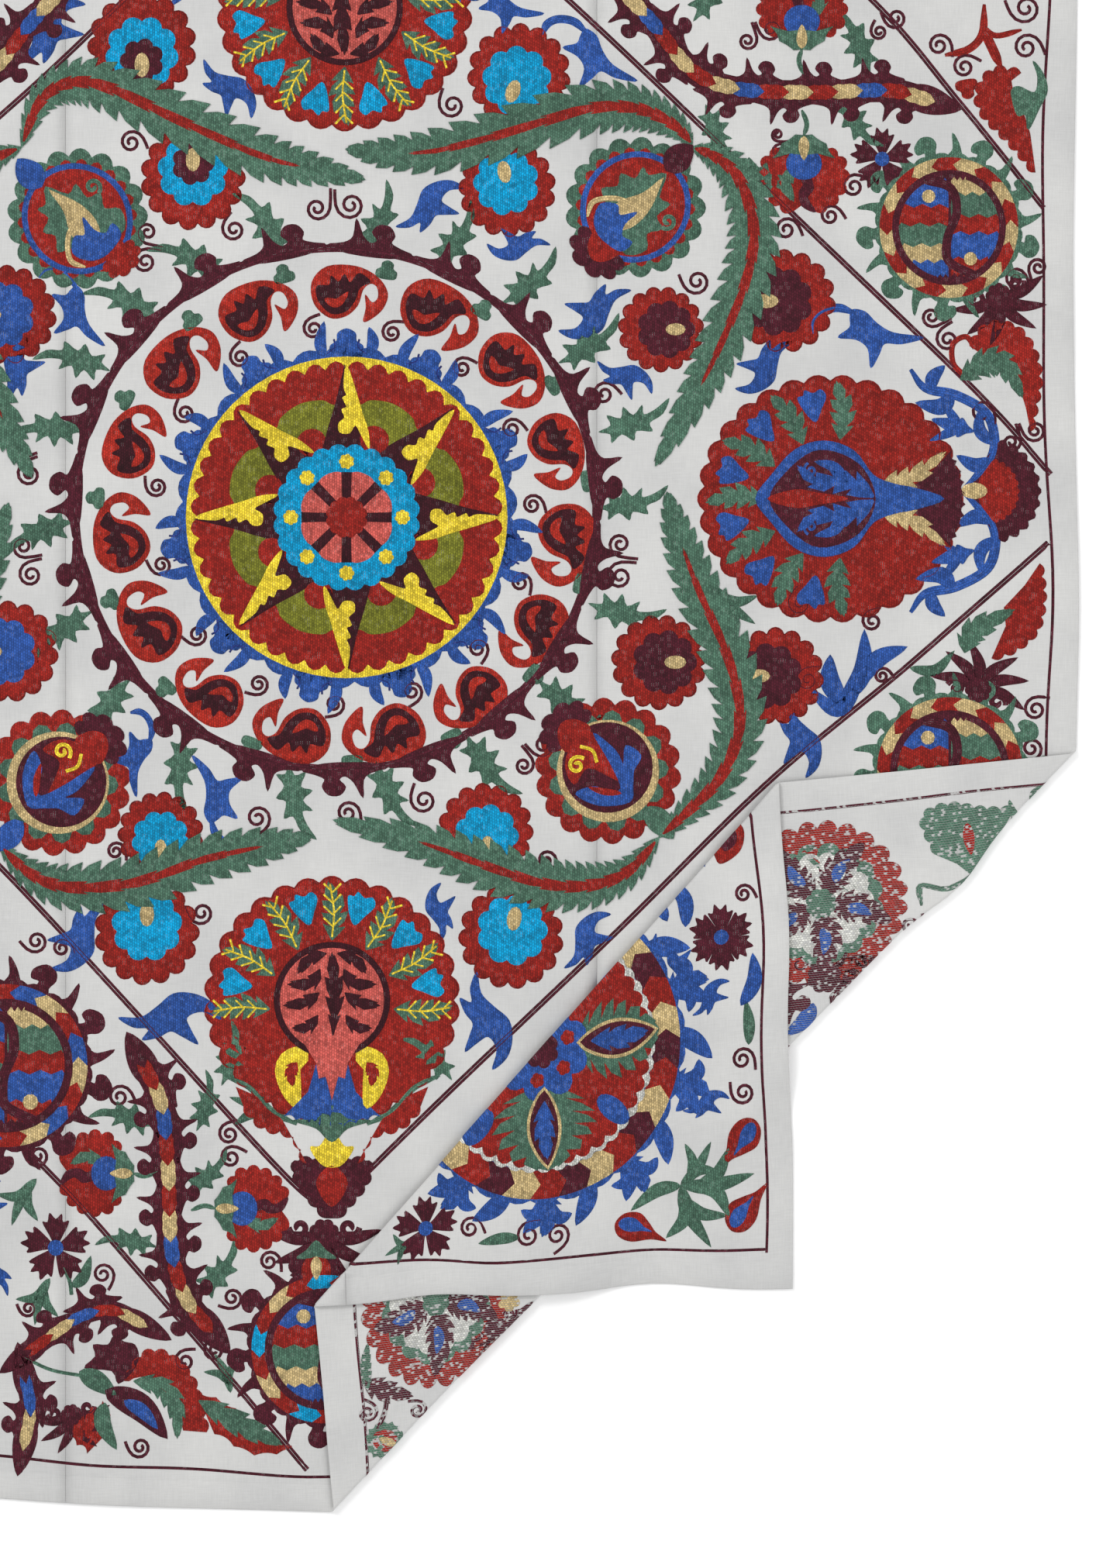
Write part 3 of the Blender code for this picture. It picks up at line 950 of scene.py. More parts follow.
def medallion(pen):
    """The middle of the cloth."""
    pen.patch(scallop(17.5, 33, 0.04, 5), "blue")
    for angle in (26, 62, 90, 122, 155, 190, 225, 258, 288, 317, 349):
        flame = pen.at(*spot(angle, 17.0), angle - 90)
        crown(flame, 1.15, "blue")
        for side, reach in ((-1, 3.0), (1, 2.4)):
            spike = leaf(((side * 2.3, -0.6), (side * 2.7, 0.9), (side * 2.3, reach)), 1.1)
            flame.patch(spike, "blue", 0.3)
            vein = curve(((side * 2.0, -0.3), (side * 1.2, 0.4), (side * 1.3, 1.2)))
            flame.line(vein, "deep_blue", 0.2, 0.8)
    pen.patch(disc(16.4, 64), "yellow", 1)
    pen.patch(scallop(15.95, 44, 0.05, 4), "red", 2)
    for k in range(8):
        sector = pen.at(0, 0, 45 * k + 22.5 - 90)
        span = both_halves(
            ((-3.0, 7.2), (-4.1, 9.0), (-4.2, 10.4), (-3.0, 11.2), (-2.2, 12.0), (0, 12.5))
        )
        olive = loop((*span, (0, 7.6)))
        sector.patch(olive, "olive", 3)
        sector.patch(oval(1.5, 1.4, 16) + (-0.4, 8.4), "red", 4)
    for k in range(8):
        ray = pen.at(0, 0, 45 * k - 90)
        dark = np.array(
            ((2.4, 6.6), (1.2, 9.0), (0.5, 12.0), (-0.2, 15.6), (-1.0, 12.0), (-1.8, 9.4), (-2.6, 6.6))
        )
        ray.patch(dark, "dark", 4)
        hook = (
            (2.3, 7.0), (1.5, 8.4), (0.9, 9.4), (0.3, 8.6), (-0.7, 8.7), (-0.8, 9.6), (-0.2, 10.2),
            (-0.5, 11.0), (0.0, 11.3), (-0.4, 12.2), (0.0, 12.5), (-0.3, 13.4), (0.0, 15.5), (0.9, 13.0),
            (1.6, 10.6), (2.2, 8.8),
        )
        ray.patch(loop(hook, 3), "yellow", 5)
    pen.patch(scallop(7.5, 24, 0.06, 4), "turquoise", 5)
    for k in range(8):
        petals = pen.at(0, 0, 45 * k + 22.5 - 90)
        petals.patch(loop(both_halves(((-0.45, 1.3), (-1.1, 2.8), (-1.5, 4.0), (-0.7, 4.7)))), "pink", 6)
        spoke = pen.at(0, 0, 45 * k - 90)
        spoke.patch(np.array(((-0.42, 1.6), (0.42, 1.6), (0.5, 4.6), (-0.5, 4.6))), "dark", 7)
        spoke.patch(scallop(0.75, 7, 0.2, 4) + (0, 5.7), "yellow", 7)
    pen.patch(scallop(2.1, 12, 0.1, 4), "red", 8)


def paisley_ring(pen):
    """Paisleys in a ring, with curls inside them and leaves between them."""
    for k in range(15):
        angle = 91 + 24 * k
        outer = pen.at(*spot(angle, 22.9), angle - 90)
        paisley(outer.at(0, 0, -23), 0.94 + 0.04 * (k % 3))
        inner = pen.at(*spot(angle + 7, 19.5), angle - 83)
        inner.at(-0.4, -0.2, 100).line(spiral(1.15, 1.7, tail=1.1), "plum", CURL_LINE)
        crown(pen.at(*spot(angle - 11, 25.0), angle - 101), 0.72, "green")


def thorn_vine(pen, path, width=0.8, pitch=4.4, height=2.4, colour="plum", sides=(1, -1), base=0.0):
    """A thick stem that bears pairs of a curved spike and a hooked knob."""
    path = np.asarray(path, float)
    pen.line(path, colour, width, 0.6)
    along = lengths_along(path)
    count = max(1, round(along[-1] / pitch))
    for number, side in enumerate(sides):
        for k in range(count):
            place = (k + 0.5 + 0.45 * number) * along[-1] / (count + 0.45 * (len(sides) - 1))
            before, at, after = values_at(np.array((-0.5, 0, 0.5)) + place, along, path)
            ahead = after - before
            thorn = pen.at(*at, math.degrees(math.atan2(ahead[1], ahead[0])))
            outline = loop(THORN, 3) * (pitch, height) + (0, base)
            thorn.patch(outline * (1, side), colour, 0.5)


def striped_stem(pen, path, width=1.45, height=2.2, colours=("red", "gold", "blue", "red", "gold")):
    """A thorny stem whose core is worked in short lengths of colour, with pointed ends."""
    path = np.asarray(path, float)
    thorn_vine(pen, path, width * 1.7, 6.2, height, base=width * 0.7)
    for end, next_point in ((path[0], path[3]), (path[-1], path[-4])):
        ahead = (end - next_point) / np.linalg.norm(end - next_point)
        pen.patch(leaf((end - ahead * 3, end, end + ahead * 3.4), width * 1.9), "plum", 0.9)
    along = lengths_along(path)
    count = max(2, int(along[-1] / 2.5))
    for k in range(count):
        ends = np.linspace(k + 0.02, k + 0.98, 5) * along[-1] / count
        middle = values_at(ends, along, path)
        ahead = np.gradient(middle, axis=0)
        side = sideways(middle)
        half = np.array((0.8, 1.0, 0.9, 1.0, 0.8))[:, None] * width / 2
        tip = middle[-1:] + ahead[-1:] * 1.1
        notch = middle[:1] + ahead[:1] * 1.1
        outline = np.vstack((middle + side * half, tip, (middle - side * half)[::-1], notch))
        pen.patch(outline, colours[k % len(colours)], 2.2)


def ring_of_colour(pen, inner, outer, count, colours, layer, start=0.0, sweep=360.0):
    """A ring worked in lengths of colour with pointed joins."""
    middle = (inner + outer) / 2
    for k in range(count):
        a = start + sweep * k / count
        b = start + sweep * (k + 1) / count
        lead = 0.35 * sweep / count
        point, notch = (arc(middle, end + lead, end + lead, 1) for end in (b, a))
        outline = np.vstack((arc(outer, a, b, 6), point, arc(inner, b, a, 6), notch))
        pen.patch(outline, colours[k % len(colours)], layer)


def roundel(pen, radius, colours=("red", "gold"), fringe="green"):
    """A wreath of the corner bands, with an S of colours inside it."""
    for k in range(18):
        angle = 20 * k + 6
        hook = pen.at(*spot(angle, radius * 0.98), angle - 90)
        hook.patch(loop(KNOB if k % 2 else BARB, 3) * (radius * 0.155), fringe, 0.2)
    pen.patch(scallop(radius * 1.07, 24, 0.04, 4), fringe, 0.4)
    ring_of_colour(pen, radius * 0.8, radius, 18, colours, 1.5)
    pen.patch(disc(radius * 0.82, 40), "plum", 2.8)
    inner = radius * 0.72
    for side, heights, shades in (
        (-1, (0.93, 0.42, 0.05, -0.36, -0.68, -0.96), ("blue", "red", "green", "gold", "blue")),
        (1, (0.95, 0.66, 0.22, -0.12, -0.62, -0.94), ("gold", "green", "red", "blue", "red")),
    ):
        for k, shade_name in enumerate(shades):
            pen.patch(half_band(inner, side, heights[k], heights[k + 1]), shade_name, 4)
        pen.patch(disc(0.13, 10) * inner + np.array((0.42 * side, 0.62 * -side)) * inner, "gold", 5)
    bend = ((-0.5, 0.95), (0.02, 0.78), (0.14, 0.3), (-0.04, -0.2), (-0.02, -0.66), (0.5, -0.95))
    pen.line(curve(bend, 8) * inner, "plum", 0.16 * radius, 5)


def half_band(radius, side, high, low):
    """Part of a half disc between two heights, with ragged upper and lower edges."""
    bottom, top = (ragged_edge(y) for y in (low, high))
    rim = [(math.sqrt(1 - y * y), y) for y in np.linspace(low, high, 6)]
    return np.array([*bottom, *rim, *top[::-1]]) * (side * radius, radius)


def ragged_edge(y):
    """A zigzag from the middle of a disc of radius 1 to its rim, at a height."""
    reach = math.sqrt(1 - y * y)
    places = enumerate(np.linspace(0, 0.94, 6))
    return [(reach * t + 0.03, y + (0.05 if k % 2 else -0.03)) for k, t in places]


def small_flower(pen, size=1.0, petals=6, colour="plum", middle="blue"):
    """A flower of petals with notched ends."""
    for k in range(petals):
        turned = rotated(loop(NOTCHED_PETAL, 3), 360 * k / petals)
        pen.patch(turned * size, colour, 0.1 * k)
    pen.patch(disc(0.75, 12) * size, middle, 1.2)


def flower_disc(pen, rx, ry, heart_colour, vein, fruit):
    """A large red flower head with hearts and ferns round a fruit."""
    pen.patch(scallop(1.0, 30, 0.05, 5) * (rx, ry), "red")
    pen.line(scallop(0.99, 30, 0.05, 5) * (rx, ry), "red_edge", LINE * 0.7, 0.4, closed=True)
    for angle in (-64, -32, 0, 32, 64, 96, -96):
        x, y = spot(angle + 90, 0.71)
        fern = pen.at(x * rx, y * ry, angle * 0.94)
        fern.patch(leaf(((0, -2.9), (0.3, 0), (-0.4, 3.1)), 1.75, 4, 0.5, 0.1, 0.5), "green", 1)
        if vein:
            fern.line(curve(((0, -2.6), (0.2, 0), (-0.2, 2.8))), vein, 0.24, 2)
            for y in (-1.5, -0.3, 0.9, 2.0):
                fern.line(np.array(((-0.85, y + 0.9), (0.1, y))), vein, 0.22, 2)
                fern.line(np.array(((0.95, y + 0.9), (0.1, y))), vein, 0.22, 2)
    heart = loop(
        (
            (0, -1.9), (-1.0, -0.6), (-1.6, 1.1), (-0.9, 1.3), (-0.6, 1.9), (0.3, 1.4), (1.2, 1.7),
            (1.7, 0.8), (0.9, -0.6),
        ),
        4,
    )
    for angle in (-48, -16, 16, 48, 80, -80):
        x, y = spot(angle + 90, 0.76)
        pen.at(x * rx, y * ry, angle).patch(heart * 0.88, heart_colour, 1)
    fruit(pen)


# The marks on one half of the pink fruit: spine and width
TIGER_MARKS = (
    (((1.0, 4.7), (2.7, 4.0), (3.7, 2.4)), 1.05), (((1.5, 3.0), (2.3, 1.5), (4.7, 1.2)), 1.1),
    (((1.4, 0.6), (2.7, -0.5), (4.9, -1.0)), 1.05), (((1.3, -1.7), (2.2, -3.0), (3.8, -3.2)), 0.95),
)


def tiger_fruit(pen):
    """A pink fruit with dark curved marks, on a flared skirt."""
    foot = ((1.6, -6.6), (2.4, -9.4), (4.9, -11.9))
    hem = frill(((-4.9, -11.9), (0, -13.0), (4.9, -11.9)), 8, 0.35, -1)[1:-1]
    skirt = np.vstack((np.array(foot) * (-1, 1), hem, foot[::-1]))
    pen.patch(skirt, "blue", 2)
    for side in (-1, 1):
        scroll = leaf(((2.4, -5.2), (4.4, -6.6), (4.2, -9.0), (3.4, -11.2)), 2.4, 0, 0, 0.1, 0.4, 0.6)
        pen.patch(scroll * (side, 1), "yellow", 1.2)
        eye_shape = leaf(((3.6, -6.4), (4.2, -7.4), (4.0, -8.8)), 1.1, 3, 0.3)
        pen.patch(eye_shape * (side, 1), "red", 2.4)
    pen.patch(disc(5.9, 40), "dark", 3)
    pen.patch(disc(5.3, 40), "pink", 4)
    neck = both_halves(((-3.0, -4.2), (-1.6, -6.4), (-1.3, -8.0), (-0.6, -7.8), (0, -10.2)))
    pen.patch(neck, "pink", 5.2)
    pen.patch(leaf(((0.1, -3.6), (0.3, 0.4), (0, 4.9)), 1.35, 4, 0.45, 0.05, 0.6), "dark", 6.4)
    for side in (-1, 1):
        for spine, width in TIGER_MARKS:
            mark = leaf(np.array(spine) * (side, 1), width, 2, 0.4, 0.1, 0.5, 0.7)
            pen.at(0, 0, 5 * side).patch(mark, "dark", 6.4)


def blue_fruit(pen):
    """A blue and plum fruit with its neck and skirt below it."""
    hem = frill(((-4.9, -12.4), (-1.8, -13.6), (1.8, -13.6), (4.9, -12.4)), 9, 0.4, -1)
    skirt = np.vstack(((0, -7.2), hem))
    pen.patch(skirt, "plum", 2)
    for side in (-1, 1):
        scroll = leaf(((1.6, -5.4), (2.2, -8.4), (4.8, -11.8)), 1.5, 4, 0.5, 0.1, 0.4)
        pen.patch(scroll * (side, 1), "gold", 3)
    half = (
        (0, 7.6), (2.4, 6.0), (5.0, 3.6), (5.9, 0.6), (4.9, -2.4), (2.4, -4.4), (1.5, -6.6), (1.1, -8.6),
        (0, -11.6),
    )
    rim = loop(both_halves(half), 4)
    pen.patch(rim, "blue", 4.2)
    body = loop(both_halves(((0, 6.2), (2.6, 4.6), (4.8, 1.8), (4.6, -1.0), (3.0, -3.4), (0, -4.6))), 4)
    pen.patch(body, "plum", 5.4)
    for side in (-1, 1):
        bough = leaf(((0.2, -4.4), (1.8, -1.6), (1.7, 1.4), (3.4, 3.4)), 1.5, 4, 0.5, 0.3, 0.4)
        pen.patch(bough * (side, 1), "blue", 6.6)
        pen.patch(leaf(((1.5, -1.8), (3.2, -0.4), (3.8, 1.6)), 1.0) * (side, 1), "blue", 6.6)
        pen.at(side * 2.9, 2.0, 20 * side, 1, side < 0).line(spiral(0.8, 1.2), "blue", 0.4, 6.2)
    pen.patch(loop(both_halves(((0, 6.4), (-0.9, 3.6), (-0.6, 1.4), (0, -1.8))), 4), "red", 7.8)


def apex_side(pen):
    """The half flower and scrolls in a side corner of the diamond, which is at the top here."""
    lobes = np.linspace(0, 11 * math.pi, 46)
    fan = polar(np.linspace(8, 172, 46), 5.6 * (0.9 + 0.1 * np.abs(np.sin(lobes))))
    wedge = np.vstack((fan * (0.97, 0.92), ((-2.6, -1.0), (0, -2.2), (2.6, -1.0))))
    pen.patch(wedge + (0, -2.9), "plum")
    pen.patch(wedge * (0.62, 0.62) + (0, -3.2), "red", 1)
    pen.patch(oval(0.8, 1.3, 14) + (0, -4.6), "gold", 2)
    for side in (-1, 1):
        flip = np.array((side, 1))
        pen.line(curve(APEX_SCROLL) * flip, "blue", 1.0, 0.6, taper=True)
        for spine, width in APEX_LEAVES:
            pen.patch(leaf(np.array(spine) * flip, width), "blue", 0.4)
        tulip(pen.at(side * 6.4, -5.8, 180 + side * 16), 0.9, "blue", "blue")


def apex_end(pen):
    """The fleur and palmette in an end corner of the diamond, which points down here."""
    fan = frill(
        both_halves(((-0.6, -5.0), (-3.4, -1.6), (-3.8, 0.6), (-2.0, 1.0), (0, 0.2))), 15, 0.35, -1,
    )
    pen.patch(fan, "plum")
    pen.patch(loop(both_halves(((0, -3.8), (-1.6, -1.4), (0, 0.4)))), "red", 1)
    pen.patch(loop(both_halves(((-0.9, 0.4), (-2.2, 2.2), (-1.2, 2.4), (0, 4.0)))), "yellow", 1)
    pen.patch(
        loop(both_halves(((0, 2.8), (-1.6, 4.2), (-4.0, 5.0), (-1.6, 5.2), (0, 6.6))), 4), "green", 2,
    )
    for side in (-1, 1):
        stem = curve(((side * 3.6, 4.6), (side * 6.2, 6.0), (side * 8.4, 8.4), (side * 11.0, 9.6)))
        pen.line(stem, "green", 0.7, 0.6, taper=True)
        petals = frill(
            ((side * 2.6, 0.6), (side * 4.0, 3.4), (side * 7.0, 4.4), (side * 9.0, 6.4)), 6, 0.45, side,
        )
        pen.patch(
            np.vstack((petals, ((side * 9.8, 8.4), (side * 7.6, 7.4), (side * 5.2, 5.2)))), "red", 0.5,
        )
        holly(pen.at(side * 10.4, 11.2, side * 30), 0.8)


# The layout, in centimetres from the design's middle


def double_line(pen, path, colour="plum"):
    """Two rows of chain stitch side by side."""
    path = np.asarray(path, float)
    side = sideways(path)
    for offset in (-0.16, 0.16):
        pen.line(path + side * offset, colour, 0.29)


def diamond(pen):
    """The line round the middle field and the lines of the corner bands."""
    for path in (
        ((-1.2, -71.7), (-5.7, -68.3), (-20.3, -52.4), (-34.9, -36.7), (-52.0, -20.0), (-72.0, -1.0)),
        ((-1.2, -71.7), (10.0, -60.6), (28.0, -43.4), (43.5, -28.1), (58.0, -16.0), (72.0, -3.6)),
        ((0.2, 71.8), (12.6, 61.0), (24.6, 50.5), (45.0, 31.0), (65.0, 11.7), (72.4, 3.4)),
        ((0.2, 71.8), (-12.6, 61.0), (-30.0, 44.4), (-45.0, 31.0), (-60.0, 16.0), (-72.0, 2.4)),
        ((71.9, 30.6), (63.0, 41.5), (54.1, 51.9), (38.0, 66.2), (20.0, 82.0), (3.0, 98.6)),
        ((-71.9, 30.6), (-63.0, 41.5), (-54.1, 51.9), (-38.0, 66.2), (-20.0, 82.0), (-3.0, 98.6)),
        ((-3.4, -98.4), (-16.0, -83.6), (-29.5, -68.3), (-44.0, -55.0), (-58.0, -42.0), (-71.9, -29.6)),
        ((3.0, -98.4), (16.0, -84.0), (30.0, -69.8), (44.0, -55.6), (58.0, -41.2), (71.9, -27.2)),
    ):
        double_line(pen, curve(path, 14))


def hem_lines(pen):
    """The border line that runs inside the hem."""
    low_left = bottom_edge(-HALF_WIDTH) * 100 + 3.9
    low_right = bottom_edge(HALF_WIDTH) * 100 + 3.9
    inset = 72.0
    corners = ((inset, low_right), (inset, 99.2), (-inset, 99.2), (-inset, low_left))
    for a, b in zip(corners, corners[1:] + corners[:1]):
        t = np.linspace(0, 1, 110)[:, None]
        path = np.array(a) * (1 - t) + np.array(b) * t
        wander = 0.22 * np.sin(t * 17) + 0.16 * np.sin(t * 41 + 1)
        normal = np.array((b[1] - a[1], a[0] - b[0]), float)
        normal /= np.linalg.norm(normal)
        pen.line(path + wander * normal, "plum", 0.3)


FEATHERS = (
    (
        (35.8, 37.1), (34.3, 38.8), (31.9, 40.2), (29.2, 40.9), (24.9, 40.7), (16.6, 38.2), (9.5, 36.4),
        (4.4, 36.2), (0.4, 36.6),
    ),
    (
        (35.8, 36.8), (38.2, 35.8), (40.6, 33.6), (42.1, 28.6), (41.3, 23.2), (38.6, 16.4), (35.9, 11.0),
        (32.0, 4.2),
    ),
    (
        (32.4, -33.7), (35.6, -30.8), (38.9, -27.2), (40.7, -21.8), (39.5, -15.4), (36.4, -8.3),
        (34.4, -2.8), (33.2, 1.6),
    ),
    (
        (32.4, -33.7), (29.2, -37.2), (25.3, -38.6), (20.5, -38.4), (14.2, -36.4), (7.8, -34.1),
        (-0.9, -31.9),
    ),
    (
        (-32.7, 36.8), (-30.9, 41.3), (-28.1, 43.3), (-24.1, 43.0), (-16.7, 39.6), (-8.2, 35.9),
        (-3.0, 34.6), (2.4, 33.5),
    ),
    (
        (-32.7, 36.8), (-36.4, 35.0), (-39.4, 30.5), (-40.0, 25.0), (-38.0, 17.0), (-34.6, 9.0),
        (-31.6, 3.0),
    ),
    (
        (-34.9, -34.5), (-31.8, -37.4), (-27.8, -38.8), (-21.0, -38.3), (-14.3, -36.0), (-8.0, -34.6),
        (-3.0, -33.6),
    ),
    ((-34.9, -34.5), (-39.4, -27.3), (-41.0, -21.0), (-39.5, -14.0), (-36.4, -7.0), (-34.0, 0.5)),
)

# Place, the turn that points the stalk down, radius, ring and whether it has a plum middle
ROSETTES = (
    (-20.4, 47.1, 0, 5.6, "turquoise", True), (-15.2, 33.7, 180, 5.4, "turquoise", True),
    (18.1, 44.2, -20, 5.3, "turquoise", False), (16.9, 32.6, 190, 5.0, "turquoise", False),
    (14.7, -33.0, 10, 4.9, "turquoise", False), (17.3, -43.8, 170, 5.4, "turquoise", False),
    (-18.5, -33.4, 0, 4.4, "turquoise", False), (-19.9, -43.4, 180, 5.4, "turquoise", False),
    (32.6, 18.2, 90, 4.4, "plum", False), (45.2, 21.1, -90, 5.3, "plum", False),
    (32.4, -15.8, 90, 4.9, "plum", False), (44.3, -17.2, -90, 5.0, "plum", False),
    (-34.2, 19.7, -90, 5.1, "blue", False), (-34.1, -14.7, -90, 5.2, "blue", False),
    (-46.0, 21.5, 90, 4.8, "blue", False), (-46.0, -17.5, 90, 4.8, "blue", False),
)

# Place, turn and size of what fills the field between the larger motifs
HORNS = (
    (-29.7, 48.3, 10, 1.15), (-11.8, 42.7, -80, 0.95), (9.1, 30.5, 0, 1.0), (18.1, 27.0, 150, 0.8),
    (25.8, 20.3, 180, 1.05), (28.8, 13.2, -60, 0.8), (43.1, 14.7, 190, 0.95), (-32.9, 13.9, 30, 0.95),
    (46.6, -23.6, 250, 1.0), (-17.6, -52.4, -30, 1.3), (-26.9, -43.6, 200, 1.1), (14.4, -52.4, 250, 1.25),
    (25.2, -44.4, 20, 0.9), (-41.4, 10.8, 110, 1.0), (-52.4, -15.2, 200, 1.1), (14.4, 53.6, 140, 0.9),
    (-15.4, 54.6, 30, 1.0), (10.2, -41.4, 60, 0.75),
)
BELLS = (
    (25.6, 46.5, 0, 1.0), (16.4, 51.4, 20, 0.8), (53.8, 18.2, 24, 1.05), (-27.2, 20.4, -20, 0.9),
    (-12.9, -29.9, 150, 0.95), (-20.8, -25.2, -60, 0.8), (-52.0, 16.6, 60, 1.0), (-57.0, 15.6, -40, 1.0),
    (-44.6, -9.2, 150, 0.9),
)

HOLLIES = (
    (-7.6, 28.6, 18, 1.0), (-15.0, 25.2, 50, 1.0), (-21.6, 20.8, 50, 1.0), (-26.8, 15.0, 60, 0.95),
    (-29.4, 8.0, 74, 0.95), (3.6, 28.8, -40, 0.95), (11.4, 27.0, -50, 0.95), (19.0, 22.8, -65, 0.95),
    (25.0, 16.4, -72, 0.95), (29.4, 8.6, -86, 0.95), (29.2, 0.4, -94, 0.9), (28.4, -10.6, -116, 0.95),
    (22.6, -19.6, -140, 0.95), (14.6, -26.0, -158, 1.0), (4.8, -28.9, -168, 0.95),
    (-4.8, -29.4, 178, 1.0), (-16.4, -26.4, 160, 0.95), (-23.6, -20.0, 130, 0.95),
    (-28.2, -12.4, 112, 0.95), (-30.4, -2.4, 96, 0.95),
)

CURLS = (
    (-21.5, 37.3, 20, 1.0), (-11.0, 28.4, 140, 1.0), (11.3, 41.1, 160, 1.1), (36.3, 23.1, 200, 1.1),
    (45.4, 28.4, 20, 1.0), (0.6, -31.2, 0, 1.0), (8.4, -29.9, 160, 1.1), (-8.6, -31.7, 300, 1.1),
    (20.9, -36.0, 250, 1.0), (-14.3, -41.4, 200, 1.0), (-23.1, -35.1, 0, 0.8), (46.8, -9.8, 140, 1.0),
    (54.2, -11.6, 100, 0.9), (47.6, -17.6, 90, 1.0), (65.4, 9.7, 0, 1.0), (26.8, 11.6, 40, 1.0),
    (-31.2, -44.3, 220, 0.95), (-28.6, -45.0, 20, 0.8),
)

CURL_PAIRS = (
    (-0.8, 30.9, 180, 1.15), (-19.8, 26.6, 80, 1.0), (19.5, -25.2, 220, 0.95), (28.6, -5.4, 84, 1.1),
    (-32.4, 4.8, 110, 1.0), (-32.0, -5.4, 100, 1.0),
)


def middle_field(pen):
    """What lies between the vine ring and the diamond."""
    leafy_fruit(pen.at(30.0, 30.7, 137), "plum")
    leafy_fruit(pen.at(-27.0, 29.5, -135), "blue", "red", 0.7)
    blue_hearted_fruit(pen.at(27.2, -26.9, 44), "green")
    blue_hearted_fruit(pen.at(-29.0, -28.1, -44), "blue")
    for x, y, turn, radius, ring, inner in ROSETTES:
        rosette(pen.at(x, y, turn), radius, ring, inner)
    for spine in FEATHERS:
        feather(pen, spine)
    scatter(pen, fleur, HORNS)
    scatter(pen, bell, BELLS)
    blue_horns(pen)
    sprig(pen.at(39.8, -9.8, -135), 0.8)
    scatter(pen, holly, HOLLIES)
    scatter(pen, curl, CURLS)
    scatter(pen, curl_pair, CURL_PAIRS)


def discs(pen):
    flower_disc(pen.at(-1.0, -50.3), 13.1, 12.7, "turquoise", "yellow", tiger_fruit)
    flower_disc(pen.at(0.3, 51.1, 180), 13.1, 12.7, "turquoise", "yellow", tiger_fruit)
    flower_disc(pen.at(49.9, 0.9, 90), 12.7, 13.6, "blue", None, blue_fruit)
    flower_disc(pen.at(-50.5, 0.2, -90), 12.7, 13.6, "blue", None, blue_fruit)
    apex_side(pen.at(69.2, 1.7, -90))
    apex_side(pen.at(-69.4, 0.6, 90))
    apex_end(pen.at(-1.0, -67.6))
    apex_end(pen.at(0.2, 67.6, 180))


def scatter(pen, draw, places):
    for x, y, turn, size in places:
        draw(pen.at(x, y, turn), size)


def upper_band(pen):
    """The corner band at the upper right, with the ornaments of the corner beyond it."""
    stem = curve(
        (
            (9.0, 71.6), (20.0, 61.0), (30.6, 50.8), (35.6, 44.8), (40.2, 42.8), (48.0, 42.4),
            (55.8, 42.6), (60.0, 41.6),
        ),
        10,
    )
    striped_stem(pen, stem)
    scatter(pen, band_tulip, ((47.0, 48.4, 0, 1.0), (47.2, 36.4, 180, 1.0), (26.6, 65.4, -40, 1.0)))
    roundel(pen.at(62.1, 28.6), 7.15)
    roundel(pen.at(16.0, 78.4), 7.0, ("blue", "gold"))
    small_flower(pen.at(55.2, 35.6), 0.95, 5)
    plume(pen.at(67.2, 21.6, 200), 0.95)
    comma_leaf(pen.at(67.2, 14.6), 0.95)
    scatter(
        pen, curl_pair,
        (
            (44.7, 37.2, 90, 0.6), (70.2, 23.8, 20, 0.9), (61.2, 18.4, 120, 0.95), (42.6, 48.4, 200, 0.9),
            (24.0, 66.0, 100, 0.9), (36.0, 56.8, 10, 0.9), (69.6, 7.4, 200, 0.9),
        ),
    )
    scatter(
        pen, holly,
        (
            (52.4, 39.6, 200, 0.8), (42.6, 33.8, 50, 0.85), (52.8, 47.2, 10, 0.9), (37.4, 52.4, -40, 0.9),
            (38.2, 38.6, 190, 0.8), (29.0, 57.6, 120, 0.8),
        ),
    )
    scatter(pen, curl, ((52.3, 32.8, 60, 1.0), (49.9, 29.8, 30, 0.9), (54.9, 48.6, 150, 0.7)))
    corner_ornaments(pen)


